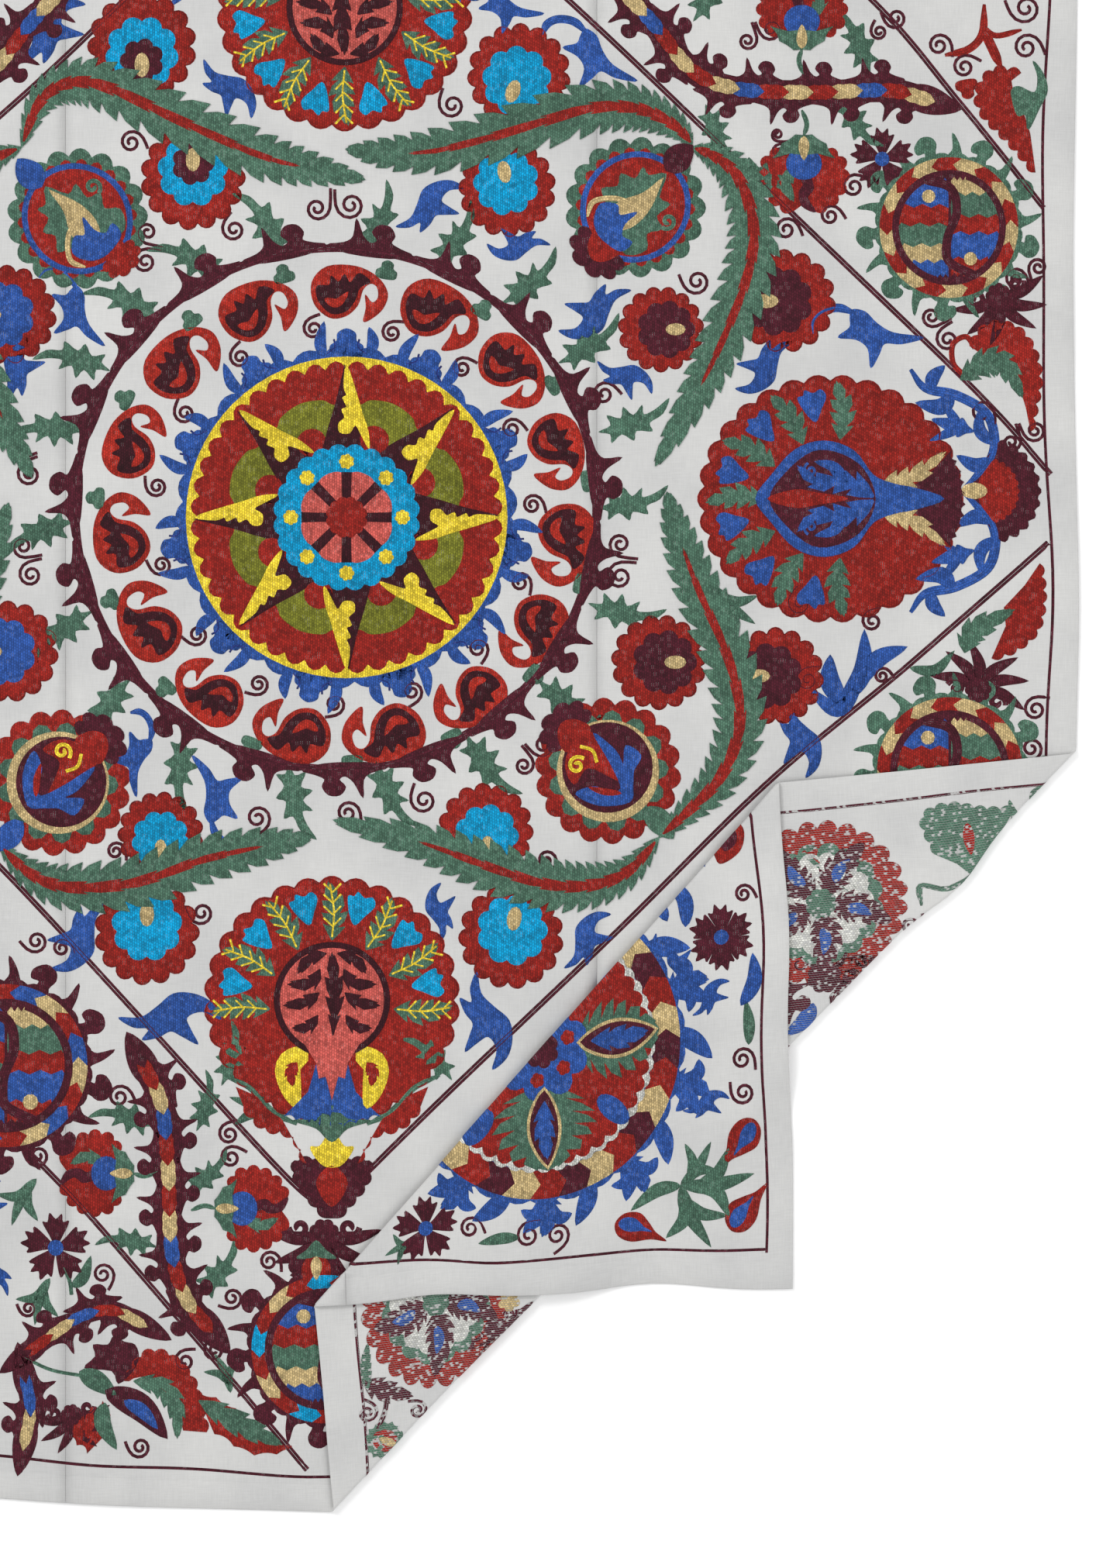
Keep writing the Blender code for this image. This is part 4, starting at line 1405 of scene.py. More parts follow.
def corner_ornaments(pen):
    """The small triangle between the band and the cloth's corner."""
    crook_leaf(pen.at(68.2, 40.0))
    for path, width in (
        (((61.6, 46.2), (64.0, 46.8), (65.4, 48.4), (65.6, 51.4)), 0.8),
        (((65.4, 49.2), (66.8, 48.2), (69.4, 48.8)), 0.6),
        (((65.4, 49.0), (66.2, 47.4), (67.3, 45.0)), 1.0),
    ):
        pen.line(curve(path), "red", width, 0.5, taper=True)
    scatter(
        pen, curl,
        (
            (61.0, 47.2, 0, 1.0), (63.6, 45.0, 60, 1.0), (69.8, 51.0, 200, 1.25), (69.9, 47.0, 20, 1.15),
            (56.6, 50.0, 200, 0.9),
        ),
    )
    crown(pen.at(63.8, 43.2, 190), 0.75, "red")
    scatter(pen, palmette, ((58.2, 54.6, 40, 1.1), (51.0, 66.0, 30, 1.2)))
    comma_leaf(pen.at(66.4, 57.8, 180), 0.95)
    small_flower(pen.at(60.6, 62.6), 1.1)
    band_tulip(pen.at(62.0, 74.0, -40), 1.2)
    roundel(pen.at(46.4, 81.6), 7.4)
    thorn_vine(pen, curve(((69.0, 64.0), (67.6, 74.0), (68.4, 84.0), (67.0, 95.0)), 10), 1.0, 6.4, 2.2)
    thorn_vine(
        pen, curve(((9.0, 95.6), (22.0, 93.4), (34.0, 95.6), (46.0, 94.4), (58.0, 95.6)), 10), 1.0, 6.4,
        2.2,
    )
    palmette(pen.at(29.0, 85.4, 10), 1.2, "red", "green")
    scatter(
        pen, fleur,
        ((38.6, 76.4, 20, 0.9), (57.6, 88.6, 200, 0.9), (36.8, 88.6, 120, 0.8), (20.4, 70.0, 60, 0.8)),
    )
    scatter(
        pen, holly,
        ((43.0, 72.0, 30, 0.9), (56.0, 70.0, 100, 0.9), (20.6, 88.0, 160, 0.9), (62.4, 86.0, 20, 0.9)),
    )
    scatter(
        pen, curl_pair,
        ((52.6, 75.6, 20, 1.0), (26.0, 76.0, 90, 1.0), (62.6, 67.6, 0, 0.9), (12.4, 90.0, 40, 0.9)),
    )


def right_side(pen):
    """Between the side corner of the diamond and the lower band, where the flap starts."""
    outer = frill(((66.3, -15.4), (68.8, -14.4), (70.8, -12.4), (71.4, -9.1), (71.1, -5.7)), 9, 0.4)
    pen.patch(np.vstack((outer, ((69.6, -7.9), (67.5, -10.2), (67.7, -12.1)))), "red")
    pen.patch(leaf(((63.6, -14.8), (64.2, -13.0), (65.8, -11.8), (68.6, -10.4)), 2.1, 4, 0.3), "green", 1)
    plume(pen.at(65.0, -18.6, -20), 0.95)
    roundel(pen.at(62.1, -26.8), 7.4, ("red", "gold"))
    scatter(pen, curl, ((55.2, -17.2, 30, 0.7), (70.8, -20.6, 80, 1.0), (70.4, -24.6, 250, 1.0)))
    pen.patch(leaf(((58.0, -16.4), (60.6, -16.6), (62.6, -14.6)), 1.1), "green")


def blue_horns(pen):
    """The three blue horns, joined at the foot, below the right disc."""
    for spine, width in (
        (((51.4, -20.2), (49.9, -17.8), (49.9, -15.0)), 2.0),
        (((51.0, -20.0), (53.2, -16.8), (53.4, -12.4)), 1.9),
        (((52.0, -19.0), (54.6, -15.6), (57.8, -14.2)), 1.8),
        (((53.0, -18.0), (50.6, -20.6), (47.6, -18.4)), 1.6),
    ):
        pen.patch(leaf(spine, width), "blue")


def lower_band(pen):
    """The corner band at the lower left, with the ornaments of the corner beyond it."""
    stem = curve(
        ((-20.4, -56.6), (-18.4, -61.0), (-17.7, -68.1), (-17.4, -75.6), (-16.0, -80.6), (-13.6, -83.8)),
        10,
    )
    striped_stem(pen, stem)
    roundel(pen.at(-34.3, -57.0), 8.3, ("blue", "red", "gold"), "plum")
    band_tulip(pen.at(-22.8, -68.0, 90), 0.95)
    band_tulip(pen.at(-11.4, -71.6, -90), 0.95)
    plume(pen.at(-1.8, -74.2, 180), 1.1)
    palmette(pen.at(-2.6, -76.8, 180), 0.8, "plum", "red")
    roundel(pen.at(-1.6, -86.0), 7.6, ("turquoise", "red", "gold", "red"), "plum")
    large_palmette(pen)
    small_flower(pen.at(-29.2, -75.6), 1.05, 5)
    pen.line(curve(((-28.4, -77.6), (-27.8, -79.0), (-27.6, -80.4))), "green", 0.4, 0.2)
    pen.patch(leaf(((-27.6, -79.6), (-26.4, -78.6), (-25.6, -76.4)), 1.2), "green")
    striped_stem(
        pen, curve(((-32.2, -86.4), (-29.4, -84.4), (-26.6, -82.6), (-23.4, -82.0), (-20.4, -83.4)), 10),
        1.1, 2.0,
    )
    striped_stem(
        pen, curve(((-32.4, -88.6), (-31.8, -92.0), (-32.4, -95.4)), 10), 1.2, 2.0,
        ("blue", "gold", "red"),
    )
    plume(pen.at(-27.6, -92.6, 190), 0.75)
    pen.patch(
        frill(
            ((-15.0, -90.0), (-11.4, -91.6), (-7.6, -94.6), (-4.8, -96.2), (-9.0, -96.8), (-13.0, -94.6)),
            9, 0.3,
        ),
        "red",
    )
    pen.patch(leaf(((-14.6, -91.2), (-10.0, -93.8), (-6.0, -95.8)), 2.0, 4, 0.3), "green", 1)
    scatter(
        pen, curl,
        (
            (-22.7, -60.2, 20, 1.0), (-31.0, -66.2, 200, 0.95), (-24.4, -78.3, 330, 0.95),
            (-11.5, -64.0, 100, 0.9), (-11.3, -66.4, 60, 0.95), (-7.4, -77.0, 0, 0.9),
            (-11.2, -80.7, 250, 0.9), (-13.0, -86.1, 120, 0.9), (-32.0, -81.8, 200, 0.7),
            (-20.6, -95.8, 200, 0.9), (-16.0, -87.2, 90, 0.9),
        ),
    )
    scatter(
        pen, holly,
        (
            (-21.6, -62.4, 60, 0.85), (-14.0, -68.4, -64, 0.75), (-12.8, -78.4, -54, 0.85),
            (-21.4, -75.0, 66, 0.75), (-14.0, -61.2, -30, 0.75),
        ),
    )
    scatter(
        pen, sprig,
        (
            (-32.4, -70.6, 150, 0.75), (-30.6, -80.8, 160, 0.7), (-12.0, -88.6, 20, 0.6),
            (-8.6, -61.6, 60, 0.8),
        ),
    )
    scatter(pen, fleur, ((-35.4, -78.0, 90, 0.7), (-36.6, -66.6, 200, 0.7), (-36.6, -72.0, 30, 0.9)))


def large_palmette(pen):
    """The large flower of the lower corner: petals and a frilled wing round an almond."""
    pen.line(curve(((-32.4, -86.8), (-29.6, -88.1), (-25.6, -88.8))), "green", 0.35, 0.5)
    pen.patch(leaf(((-26.8, -88.3), (-25.0, -89.2), (-23.0, -90.6)), 1.9), "green", 1)
    petal_edge = (
        (-22.8, -89.5), (-23.5, -88.2), (-26.3, -87.9), (-25.2, -86.7), (-25.4, -85.5), (-23.9, -85.5),
        (-23.3, -84.6), (-22.2, -85.2), (-21.1, -85.5), (-20.7, -86.8), (-21.3, -88.2),
    )
    pen.patch(loop(petal_edge, 3), "plum")
    wing = frill(
        ((-22.2, -89.2), (-20.0, -86.4), (-17.3, -86.8), (-15.0, -89.6), (-13.8, -94.4)), 10, 0.4, -1,
    )
    pen.patch(np.vstack((wing, ((-16.2, -94.2), (-16.8, -91.4), (-19.0, -89.4)))), "red")
    pen.patch(
        leaf(((-21.2, -89.2), (-18.4, -89.8), (-16.9, -92.0), (-16.8, -95.0)), 1.8, 5, 0.3), "green", 1.2,
    )
    pen.patch(leaf(((-24.2, -90.2), (-20.6, -91.8), (-17.8, -95.0)), 2.6), "plum", 1.2)
    pen.patch(leaf(((-22.2, -91.2), (-20.4, -92.2), (-18.8, -94.0)), 1.3), "blue", 2.4)
    low_wing = frill(((-24.4, -91.2), (-27.0, -92.6), (-28.0, -94.6), (-26.0, -96.4)), 6, 0.4, -1)
    pen.patch(np.vstack((low_wing, ((-24.2, -94.6), (-23.6, -92.6)))), "red")
    pen.patch(leaf(((-24.2, -91.4), (-24.4, -93.4), (-23.0, -96.0)), 1.6), "green", 1.2)


def far_left(pen):
    """The part of the lower left corner that the photo cuts off, in the same manner."""
    striped_stem(
        pen, curve(((-68.6, -25.0), (-63.0, -32.0), (-56.0, -39.0), (-49.0, -45.0), (-45.4, -48.4)), 10),
    )
    scatter(pen, band_tulip, ((-52.6, -33.4, -40, 0.95), (-60.4, -46.0, 140, 0.9)))
    roundel(pen.at(-66.0, -42.0), 5.2)
    palmette(pen.at(-46.0, -58.0, 200), 1.1)
    roundel(pen.at(-57.0, -71.0), 8.0, ("red", "gold"))
    scatter(pen, small_flower, ((-43.0, -70.0, 0, 1.2), (-66.0, -57.6, 0, 1.0)))
    band_tulip(pen.at(-44.0, -84.0, 130), 1.2)
    thorn_vine(
        pen, curve(((-69.0, -58.0), (-67.6, -70.0), (-68.6, -82.0), (-67.0, -92.0)), 10), 1.0, 6.4, 2.2,
    )
    palmette(pen.at(-58.0, -87.0, 160), 1.3, "red", "green")
    scatter(
        pen, curl_pair,
        (
            (-48.0, -77.0, 0, 1.0), (-50.0, -92.0, 90, 1.0), (-60.0, -58.6, 30, 1.0),
            (-39.0, -66.0, 60, 1.0), (-46.6, -38.6, 40, 1.0),
        ),
    )
    scatter(
        pen, holly,
        (
            (-52.0, -53.0, 40, 0.9), (-48.4, -64.6, 100, 0.9), (-63.4, -82.0, 10, 0.9),
            (-38.6, -80.0, 160, 0.9),
        ),
    )
    scatter(pen, sprig, ((-44.6, -92.4, 40, 0.9), (-66.6, -50.6, 10, 0.8)))


def eye(pen, size=1.0, cheek=1.0):
    """An almond with a serrated green leaf on each side; cheek is how far the leaves stand out."""
    pen.patch(
        leaf(((0, -4.6), (0.2, 0), (0, 4.6)), 5.2 * cheek, 6, 0.3, 0.03, 0.46, 0.6) * size, "green", 6.2,
    )
    pen.patch(leaf(((0, -4.5), (0.2, 0), (0, 4.5)), 3.9, 0, 0, 0.05, 0.5, 0.85) * size, "gold", 7.4)
    pen.patch(leaf(((0, -4.1), (0.2, 0), (0, 4.1)), 3.2, 0, 0, 0.05, 0.5, 0.85) * size, "plum", 8.6)
    pen.patch(leaf(((0, -2.9), (0.2, 0.2), (0, 3.4)), 1.9, 3, 0.35, 0.05, 0.5) * size, "blue", 9.8)


def folded_corner(pen):
    """The lower right corner, which shows on the flap's back and on the tip's face."""
    middle = pen.at(48.2, -80.0)
    for k in range(20):
        flame = middle.at(*spot(18 * k, 15.2), 18 * k - 90)
        flame.patch(leaf(((-0.8, -0.8), (0.5, 1.5), (2.4, 3.4)), 1.9), "blue", 0.1)
        if k % 2:
            flame.patch(leaf(((0.0, -0.4), (-0.6, 1.8), (0.3, 4.0)), 2.1, 3, 0.3), "blue", 0.2)
            flame.patch(leaf(((-0.4, 1.2), (-1.7, 2.2), (-3.0, 1.9)), 1.3), "blue", 0.3)
            flame.patch(leaf(((0.2, 1.2), (1.5, 1.6), (2.6, 1.0)), 1.1), "blue", 0.3)
    middle.patch(scallop(15.8, 30, 0.03, 4), "blue", 0.5)
    ring_of_colour(middle, 12.3, 15.2, 30, ("gold", "red", "plum"), 1.7)
    middle.patch(scallop(12.5, 46, 0.03, 3), "white", 4.2)
    middle.patch(scallop(12.1, 40, 0.05, 4), "red", 5)
    for angle, reach, size, cheek in (
        (5, 8.4, 1.0, 1.2), (-88, 8.0, 0.94, 1.8), (95, 8.4, 1.0, 1.2), (182, 8.0, 0.94, 1.8),
    ):
        eye(middle.at(*spot(angle, reach), angle - 90), size, cheek)
        between = middle.at(*spot(angle - 46, 10.2), angle - 46)
        between.patch(oval(2.1, 1.1, 18), "blue", 6.2)
    middle.patch(scallop(5.2, 9, 0.2), "blue", 6.6)
    for k in range(6):
        middle.patch(scallop(0.75, 5, 0.2) + spot(60 * k + 20, 3.1), "red", 7.8)
    middle.patch(scallop(1.9, 7, 0.2), "plum", 7.8)
    corner_sprays(pen)
    tip_flowers(pen)
    flap_flowers(pen)


def corner_sprays(pen):
    """Leaves from one point near the corner, with buds and curls round them."""
    stem = pen.at(63.1, -95.2)
    for turn, size in ((-40, 0.75), (-88, 1.08), (-158, 1.05)):
        forked_leaf(stem.at(0, 0, turn), size)
    stem.patch(leaf(((0, 0), (-2.6, -0.4), (-5.4, -2.4)), 1.4), "green", 0.4)
    for x, y, turn in ((69.6, -91.0, 64), (69.8, -98.4, -118), (58.2, -99.7, 166)):
        bud = pen.at(x, y, turn)
        bud.patch(loop(BUD, 4), "red")
        bud.patch(loop(BUD, 4) * (0.62, 0.46) + (0.5, -0.3), "blue", 1)
    scatter(
        pen, curl,
        (
            (70.0, -82.8, 0, 1.0), (70.0, -86.2, 180, 1.0), (46.4, -98.9, 90, 1.1),
            (49.6, -99.2, 300, 1.1), (39.9, -97.7, 20, 1.0), (27.5, -95.2, 60, 0.9),
        ),
    )
    for x, y, turn in ((43.2, -99.2, 95), (70.6, -79.2, 4), (35.2, -87.2, 140)):
        pen.at(x, y, turn).patch(leaf(((0, -2.2), (0.2, 0), (0, 2.4)), 1.2), "green")
    sprig(pen.at(32.4, -99.2, 100), 0.5)
    small_flower(pen.at(35.0, -97.4), 1.05, 5)
    petals = frill(((29.0, -93.6), (31.4, -90.2), (34.8, -89.4)), 5, 0.45)
    pen.patch(np.vstack((petals, ((33.4, -92.4), (30.2, -96.4), (29.2, -97.2)))), "red")


def tip_flowers(pen):
    """Motifs along the tip's right edge."""
    small_flower(pen.at(67.9, -70.2), 1.0, 6)
    sprays = ((63.6, -72.6, 60), (66.8, -76.4, 10), (66.0, -87.2, -20), (60.8, -71.0, 90))
    for x, y, turn in sprays:
        fleur(pen.at(x, y, turn), 0.62)
    for x, y, turn in ((63.4, -66.4, 20), (64.4, -61.6, 60), (60.4, -66.4, 50), (70.4, -74.8, -10)):
        pen.at(x, y, turn).patch(leaf(((0, -2.6), (0.9, 0), (0.2, 2.8)), 1.6), "blue")
    bird = loop(
        (
            (-2.8, -0.2), (-1.2, 1.2), (0.6, 0.8), (1.6, 1.8), (2.8, 1.2), (2.2, 0.2), (1.2, -1.2),
            (-0.8, -1.6),
        )
    )
    pen.at(69.3, -60.2, 60).patch(bird, "red")
    pen.at(69.3, -60.2, 60).patch(bird * 0.5, "plum", 1)
    curl(pen.at(65.6, -59.6, 120), 1.0)
    curl(pen.at(70.4, -66.0, 20), 0.8)


def flap_flowers(pen):
    """Motifs between the two folds; the photo shows their back."""
    flap_rosette(pen.at(61.3, -51.4), (0.97, 0.9))
    flap_rosette(pen.at(21.8, -91.7), (1.06, 0.82))
    fan = frill(
        (
            (66.0, -40.0), (69.4, -41.0), (70.6, -39.8), (70.7, -37.5), (70.1, -35.6), (69.7, -33.6),
            (69.6, -31.7),
        ),
        10, 0.4,
    )
    pen.patch(np.vstack((fan, ((67.9, -32.7), (65.0, -34.5), (63.1, -36.3), (65.0, -38.2)))), "green")
    pen.patch(leaf(((68.8, -36.6), (67.2, -36.6), (65.6, -36.6)), 1.1), "red", 1.2)
    pen.line(
        curve(((63.6, -36.8), (62.4, -39.4), (62.7, -41.8), (60.4, -41.7))), "green", 0.6, 0.2,
        taper=True,
    )
    plume(pen.at(53.2, -51.4, -40), 1.25)
    pen.patch(leaf(((50.4, -52.6), (48.6, -53.6), (47.2, -55.6)), 1.6), "blue")
    pen.patch(leaf(((13.7, -99.2), (12.2, -97.0), (11.2, -94.2)), 1.9, 3, 0.4), "plum")
    pen.line(curve(((11.6, -96.9), (9.8, -97.2), (8.1, -98.0))), "plum", 0.5)
    pen.patch(leaf(((12.6, -98.9), (15.2, -99.1), (17.8, -98.8)), 0.9, 5, 0.3), "green")
    palmette(pen.at(6.2, -96.4, 210), 0.62, "green", "red")
    plume(pen.at(17.8, -85.6, 60), 0.85)
    pen.patch(scallop(1.1, 5, 0.3) + (20.6, -84.2), "gold", 1.2)
    stem = curve(
        ((56.4, -57.6), (50.0, -56.6), (43.4, -59.6), (37.0, -65.6), (31.0, -73.0), (26.0, -80.6)), 12,
    )
    striped_stem(pen, stem, 1.6, 2.6, ("red", "plum", "blue"))
    scatter(pen, band_tulip, ((40.6, -50.4, 30, 0.9), (28.0, -62.6, 60, 0.9)))
    scatter(pen, curl, ((10.0, -99.0, 30, 0.9), (58.2, -42.6, 80, 0.9), (9.6, -93.8, 0, 0.8)))


def flap_rosette(pen, stretch=(1.0, 1.0)):
    """A large open flower: a red frill, a green one, and plum petals round a green hub."""
    for radius, lobes, colour, layer in (
        (9.4, 24, "red", 0), (6.9, 16, "green", 1), (5.8, 14, "white", 2),
    ):
        pen.patch(scallop(radius, lobes, 0.1) * stretch, colour, layer)
    for k in range(5):
        turn = 72 * k + 20
        pen.patch(
            rotated(leaf(((0, 1.2), (0.6, 4.0), (0, 8.2)), 2.9, 5, 0.3), turn) * stretch, "plum", 3.2,
        )
        pen.patch(rotated(leaf(((0.1, 2.8), (0.5, 4.2), (0.2, 5.8)), 1.2), turn) * stretch, "blue", 4.4)
    pen.patch(scallop(1.7, 8, 0.15) * stretch, "green", 5.6)


# Materials


def add_object(name, data):
    made = bpy.data.objects.new(name, data)
    bpy.context.scene.collection.objects.link(made)
    return made


def named_material(name):
    material = bpy.data.materials.new(name)
    material.use_nodes = True
    return material, material.node_tree, material.node_tree.nodes["Principled BSDF"]


class Nodes:
    """Short calls for adding shader nodes."""

    def __init__(self, tree):
        self.tree = tree

    def add(self, kind, **values):
        node = self.tree.nodes.new(kind)
        for key, value in values.items():
            setattr(node, key, value)
        return node

    def link(self, source, target):
        self.tree.links.new(source, target)

    def math(self, operation, a, b=None, clamp=False):
        node = self.add("ShaderNodeMath", operation=operation, use_clamp=clamp)
        for socket, value in zip(node.inputs, (a, b)):
            if value is None:
                continue
            if isinstance(value, (int, float)):
                socket.default_value = value
            else:
                self.link(value, socket)
        return node.outputs[0]

    def noise(self, vector, scale, detail=2.0):
        node = self.add("ShaderNodeTexNoise")
        self.link(vector, node.inputs["Vector"])
        node.inputs["Scale"].default_value = scale
        node.inputs["Detail"].default_value = detail
        return node.outputs[0]

    def mix_colour(self, share, a, b, blend="MIX"):
        node = self.add("ShaderNodeMix", data_type="RGBA", blend_type=blend)
        for socket, value in ((node.inputs[0], share), (node.inputs[6], a), (node.inputs[7], b)):
            if isinstance(value, (int, float)):
                socket.default_value = value
            elif isinstance(value, tuple):
                socket.default_value = (*value, 1.0)
            else:
                self.link(value, socket)
        return node.outputs[2]

    def map_range(self, value, low, high, to_low, to_high):
        node = self.add("ShaderNodeMapRange")
        self.link(value, node.inputs[0])
        for socket, number in zip(node.inputs[1:5], (low, high, to_low, to_high)):
            socket.default_value = number
        return node.outputs[0]

    def vector(self, *values):
        """Up to three values as one vector."""
        node = self.add("ShaderNodeCombineXYZ")
        for value, socket in zip(values, node.inputs):
            self.link(value, socket)
        return node.outputs[0]

    def split(self, vector):
        node = self.add("ShaderNodeSeparateXYZ")
        self.link(vector, node.inputs[0])
        return node.outputs

    def slubs(self, uv, scale):
        """Noise that is stretched along one direction of the cloth."""
        stretch = self.add("ShaderNodeMapping")
        stretch.inputs["Scale"].default_value = scale
        self.link(uv, stretch.inputs["Vector"])
        return self.noise(stretch.outputs[0], 900.0, 3.0)

    def set_look(self, shader, colour, height, strength, distance, **looks):
        """Joins a colour and a relief to the shader, and sets its other looks."""
        self.link(colour, shader.inputs["Base Color"])
        for name, value in looks.items():
            shader.inputs[name.replace("_", " ")].default_value = value
        bump = self.add("ShaderNodeBump")
        bump.inputs["Strength"].default_value = strength
        bump.inputs["Distance"].default_value = distance
        self.link(height, bump.inputs["Height"])
        self.link(bump.outputs[0], shader.inputs["Normal"])


def stitch_pattern(nodes, uv):
    """Height of rows of chain stitch, 1 on a link and 0 between links and rows."""
    place_x, place_y, _ = nodes.split(uv)
    wobble = nodes.noise(uv, 160.0)
    x = nodes.math("ADD", place_x, nodes.math("MULTIPLY", wobble, STITCH_WANDER))
    across = nodes.math("FRACT", nodes.math("DIVIDE", x, ROW))
    off_centre = nodes.math("ABSOLUTE", nodes.math("SUBTRACT", across, 0.5))
    row_number = nodes.math("FLOOR", nodes.math("DIVIDE", x, ROW))
    slip = nodes.math("FRACT", nodes.math("MULTIPLY", row_number, ROW_SLIP))
    y = nodes.math("ADD", nodes.math("DIVIDE", place_y, LINK), slip)
    chevron = nodes.math("SUBTRACT", y, nodes.math("MULTIPLY", off_centre, 0.9))
    along = nodes.math("FRACT", chevron)
    link_end = nodes.math("ABSOLUTE", nodes.math("SUBTRACT", along, 0.5))
    row_height = nodes.map_range(off_centre, 0.5, 0.22, 0.0, 1.0)
    link_height = nodes.map_range(link_end, 0.5, 0.26, 0.15, 1.0)
    height = nodes.math("MULTIPLY", row_height, link_height)
    return height, nodes.math("FLOOR", chevron), row_number


def thread_material(name, reverse=False):
    """Rows of chain stitch in the colour of each patch, with painted shade in the grooves between links
    and rows; the back shows more of the cloth.
    """
    material, tree, shader = named_material(name)
    nodes = Nodes(tree)
    uv = nodes.add("ShaderNodeUVMap", uv_map="cloth").outputs[0]
    colour = nodes.add("ShaderNodeVertexColor", layer_name="thread").outputs[0]
    height, link_number, row_number = stitch_pattern(nodes, uv)
    speck = nodes.add("ShaderNodeTexWhiteNoise", noise_dimensions="2D")
    nodes.link(nodes.vector(row_number, link_number), speck.inputs["Vector"])
    each_link = nodes.map_range(speck.outputs[0], 0, 1, 0.66, 1.3)
    patchy = nodes.map_range(nodes.noise(uv, 55.0, 3.0), 0.3, 0.7, -0.15, 0.15)
    # Painted shade and highlight: the colour falls to about half in the grooves between links and rows,
    # and rises a little on the link tops.
    depth = nodes.map_range(height, 0.0, 0.7, 0.48, 1.06)
    tone_and_groove_shade = nodes.math("MULTIPLY", nodes.math("ADD", each_link, patchy), depth)
    shaded = nodes.mix_colour(1.0, colour, nodes.vector(tone_and_groove_shade, tone_and_groove_shade, tone_and_groove_shade), "MULTIPLY")
    if reverse:
        gaps = nodes.map_range(height, 0.02, 0.16, 0.0, 1.0)
        sparse = nodes.map_range(speck.outputs[0], 0.12, 0.16, 0.2, 1.0)
        shaded = nodes.mix_colour(nodes.math("MULTIPLY", gaps, sparse), CLOTH_BETWEEN_STITCHES, shaded)
    else:
        lost = nodes.math("GREATER_THAN", speck.outputs[0], 0.93)
        low = nodes.map_range(height, 0.25, 0.05, 0.0, 0.5)
        shaded = nodes.mix_colour(nodes.math("MULTIPLY", lost, low), shaded, CLOTH_BETWEEN_STITCHES)
    sheen = {"Sheen_Weight": 0.04, "Sheen_Roughness": 0.5, "Specular_IOR_Level": 0.15}
    nodes.set_look(shader, shaded, height, 0.8, 0.0006, Roughness=0.62, **sheen)
    return material


def cotton_material():
    """Off-white hand-loomed cotton with a plain weave, slubs and faint greying."""
    material, tree, shader = named_material("cotton_cloth_woven")
    nodes = Nodes(tree)
    uv = nodes.add("ShaderNodeUVMap", uv_map="cloth").outputs[0]
    warp, weft = (
        nodes.math("SINE", nodes.math("MULTIPLY", place, 2 * math.pi / WEAVE_PITCH))
        for place in nodes.split(uv)[:2]
    )
    weave = nodes.math("MULTIPLY", warp, weft)
    slubs, cross_slubs = (
        nodes.math("MULTIPLY", nodes.slubs(uv, scale), 0.5)
        for scale in ((1.0, 0.06, 1.0), (0.06, 1.0, 1.0))
    )
    fine = nodes.math("ADD", slubs, cross_slubs)
    cloudy = nodes.map_range(nodes.noise(uv, 9.0, 4.0), 0.35, 0.65, 0, 1)
    base = nodes.mix_colour(cloudy, (0.50, 0.50, 0.496), (0.57, 0.568, 0.556))
    tone = nodes.map_range(fine, 0.35, 0.65, 0.93, 1.05)
    colour = nodes.mix_colour(1.0, base, nodes.vector(tone, tone, tone), "MULTIPLY")
    relief = nodes.math("ADD", nodes.math("MULTIPLY", weave, 0.25), nodes.math("MULTIPLY", fine, 1.2))
    sheen = {"Sheen_Weight": 0.12, "Sheen_Roughness": 0.6}
    nodes.set_look(shader, colour, relief, 0.5, 0.00025, Roughness=0.9, **sheen)
    return material


# Laying the thread on the cloth


def split_faces(flat, faces):
    """Which faces lie near a fold, where they have to be cut to follow it."""
    near = np.zeros(len(flat), bool)
    for line, radius in ((FOLD_ONE, FOLD_ONE_RADIUS), (FOLD_TWO, FOLD_TWO_RADIUS)):
        distance = past(flat, line)
        near |= np.abs(distance) < math.pi * radius / 2 + 0.012
    start = FOLD_TWO[0]
    behind = abs(past(lay_tip(start[None]), FOLD_ONE)[0])
    distance = past(flat, FOLD_TWO) - behind
    near |= (distance > -0.01) & (distance < DROP_START + DROP_LENGTH + 0.01)
    close = [f for f in faces if any(near[i] for i in f)]
    return close, [f for f in faces if not any(near[i] for i in f)]


def cut_thread(thread):
    """One mesh's worth of thread, with the faces near the folds cut along them."""
    flat = np.vstack(thread.flat)
    lift = np.concatenate(thread.lift)
    uv = np.vstack(thread.uv)
    colour = np.vstack(thread.colour)
    near, far = split_faces(flat, thread.faces)
    if not near:
        return flat, lift, uv, colour, far
    bm = bmesh.new()
    values = [bm.verts.layers.float.new(name) for name in ("u", "v", "r", "g", "b")]
    table = np.column_stack((uv, colour))
    made = {}
    for f in near:
        for i in f:
            if i not in made:
                v = bm.verts.new((flat[i, 0], flat[i, 1], lift[i]))
                for k, layer in enumerate(values):
                    v[layer] = table[i, k]
                made[i] = v
        try:
            bm.faces.new([made[i] for i in f])
        except ValueError:
            continue
    for point, normal in fold_cuts():
        cut_along(bm, point, normal)
    bm.verts.index_update()
    base = len(flat)
    extra = np.array([(*v.co, *(v[layer] for layer in values)) for v in bm.verts])
    new_faces = [tuple(base + v.index for v in f.verts) for f in bm.faces]
    bm.free()
    return (
        np.vstack((flat, extra[:, :2])), np.concatenate((lift, extra[:, 2])),
        np.vstack((uv, extra[:, 3:5])), np.vstack((colour, extra[:, 5:8])), far + new_faces,
    )


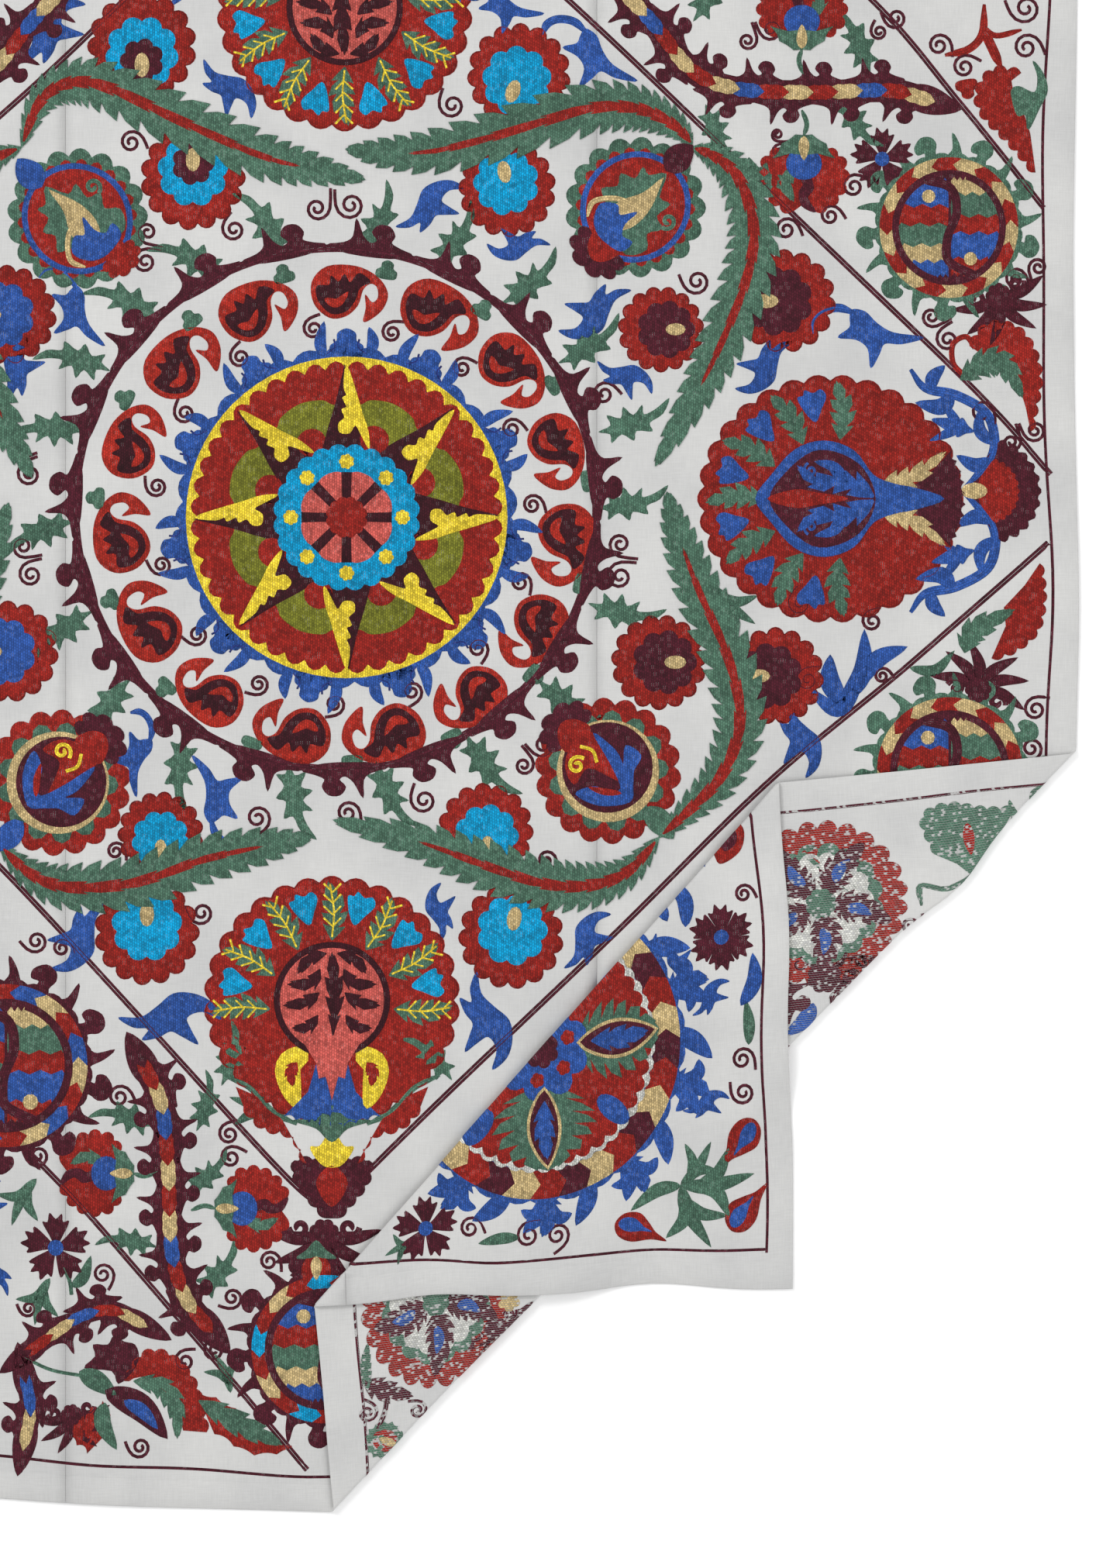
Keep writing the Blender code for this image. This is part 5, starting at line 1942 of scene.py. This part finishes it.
def thread_piece(name, thread, material, back=False):
    """A mesh of thread laid on the cloth, or its plainer copy on the back."""
    flat, lift, uv, colour, faces = cut_thread(thread)
    if back:
        lift = -0.35 * np.maximum(lift, 0.0001) - 0.0001
        faces = [f[::-1] for f in faces]
    used = np.unique(np.concatenate([np.array(f) for f in faces]))
    number = np.full(len(flat), -1)
    number[used] = np.arange(len(used))
    faces = [tuple(int(number[i]) for i in f) for f in faces]
    flat, lift, uv, colour = flat[used], lift[used], uv[used], colour[used]
    mesh = bpy.data.meshes.new(name)
    mesh.from_pydata(laid(flat, lift).tolist(), [], faces)
    set_uv(mesh, uv)
    shades = mesh.color_attributes.new(name="thread", type="FLOAT_COLOR", domain="POINT")
    rgba = np.column_stack((colour, np.ones(len(colour)))).astype(np.float32)
    shades.data.foreach_set("color", rgba.ravel())
    mesh.materials.append(material)
    mesh.shade_smooth()
    piece = add_object(name, mesh)
    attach(piece, "root")
    triangles = sum(len(f) - 2 for f in faces)
    print(name, triangles, "triangles")
    return piece


def draw_medallion(pen):
    medallion(pen.at(0.5, -1.0))
    paisley_ring(pen.at(0.2, -0.8))
    ring = pen.at(-0.6, -0.1)
    thorn_vine(ring, arc(26.6, 452, 92, 150), 0.8, 8.8, 2.9, sides=(1,))


def draw_lines(pen):
    diamond(pen)
    hem_lines(pen)


def draw_corners(pen):
    upper_band(pen)
    upper_band(pen.mirrored(-1, 1))
    right_side(pen)
    lower_band(pen)
    far_left(pen)
    folded_corner(pen)


DRAWINGS = {
    "thread_medallion": draw_medallion, "thread_field": middle_field, "thread_discs": discs,
    "thread_lines": draw_lines, "thread_corners": draw_corners,
}


# The studio


def make_floor():
    bpy.ops.mesh.primitive_plane_add(size=14.0, location=(0, 0, -0.0004))
    floor = bpy.context.object
    floor.name = "floor"
    material, _, shader = named_material("pale_floor")
    shader.inputs["Base Color"].default_value = (0.93, 0.93, 0.93, 1.0)
    shader.inputs["Roughness"].default_value = 0.9
    floor.data.materials.append(material)


def area_light(name, place, target, size, power):
    data = bpy.data.lights.new(name, "AREA")
    data.shape = "SQUARE"
    data.size = size
    data.energy = power
    light = add_object(name, data)
    light.location = place
    light.rotation_euler = (Vector(target) - Vector(place)).to_track_quat("-Z", "Y").to_euler()


# The photo: metres to a pixel, its size, and the pixel of the design's middle
PIXEL = 0.000792
PHOTO = (1445, 2023)
MIDDLE_PIXEL = (441, 655)
CAMERA_HEIGHT = 6.0
SENSOR = 36.0


def make_camera():
    """Looks straight down through a long lens, framed as in the photo."""
    data = bpy.data.cameras.new("camera")
    data.type = "PERSP"
    data.sensor_fit = "VERTICAL"
    data.sensor_height = SENSOR
    data.lens = SENSOR * CAMERA_HEIGHT / (PHOTO[1] * PIXEL)
    data.clip_end = 50.0
    camera = add_object("camera", data)
    x = (PHOTO[0] / 2 - MIDDLE_PIXEL[0]) * PIXEL + DESIGN_MIDDLE[0]
    y = (MIDDLE_PIXEL[1] - PHOTO[1] / 2) * PIXEL + DESIGN_MIDDLE[1]
    camera.location = (x, y, CAMERA_HEIGHT)
    bpy.context.scene.camera = camera


def make_lights():
    area_light("key", (-2.6, 2.2, 3.2), (0.2, -0.2, 0), 1.6, 95)
    area_light("fill", (2.8, -1.2, 3.4), (0.2, -0.2, 0), 2.6, 55)
    world = bpy.data.worlds.new("studio")
    world.use_nodes = True
    background = world.node_tree.nodes["Background"]
    background.inputs["Color"].default_value = (1.0, 1.0, 1.0, 1.0)
    background.inputs["Strength"].default_value = 0.75
    bpy.context.scene.world = world
    bpy.context.scene.view_settings.view_transform = "Standard"


def main():
    cotton = cotton_material()
    starts = (-HALF_WIDTH, *(x + SEAM_GAP / 2 for x in SEAMS_X))
    ends = (*(x - SEAM_GAP / 2 for x in SEAMS_X), HALF_WIDTH)
    for node, low_x, high_x in zip(PANELS, starts, ends):
        cloth = make_panel(node.replace("panel", "cloth"), low_x, high_x, cotton)
        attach(cloth, "root")
        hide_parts(node)
    face = thread_material("chain_stitch")
    reverse = thread_material("chain_stitch_back", True)
    for name, draw in DRAWINGS.items():
        thread = Thread()
        draw(Pen(thread))
        thread_piece(name, thread, face)
        thread_piece(name + "_back", thread, reverse, back=True)
    make_floor()
    make_lights()
    make_camera()


main()
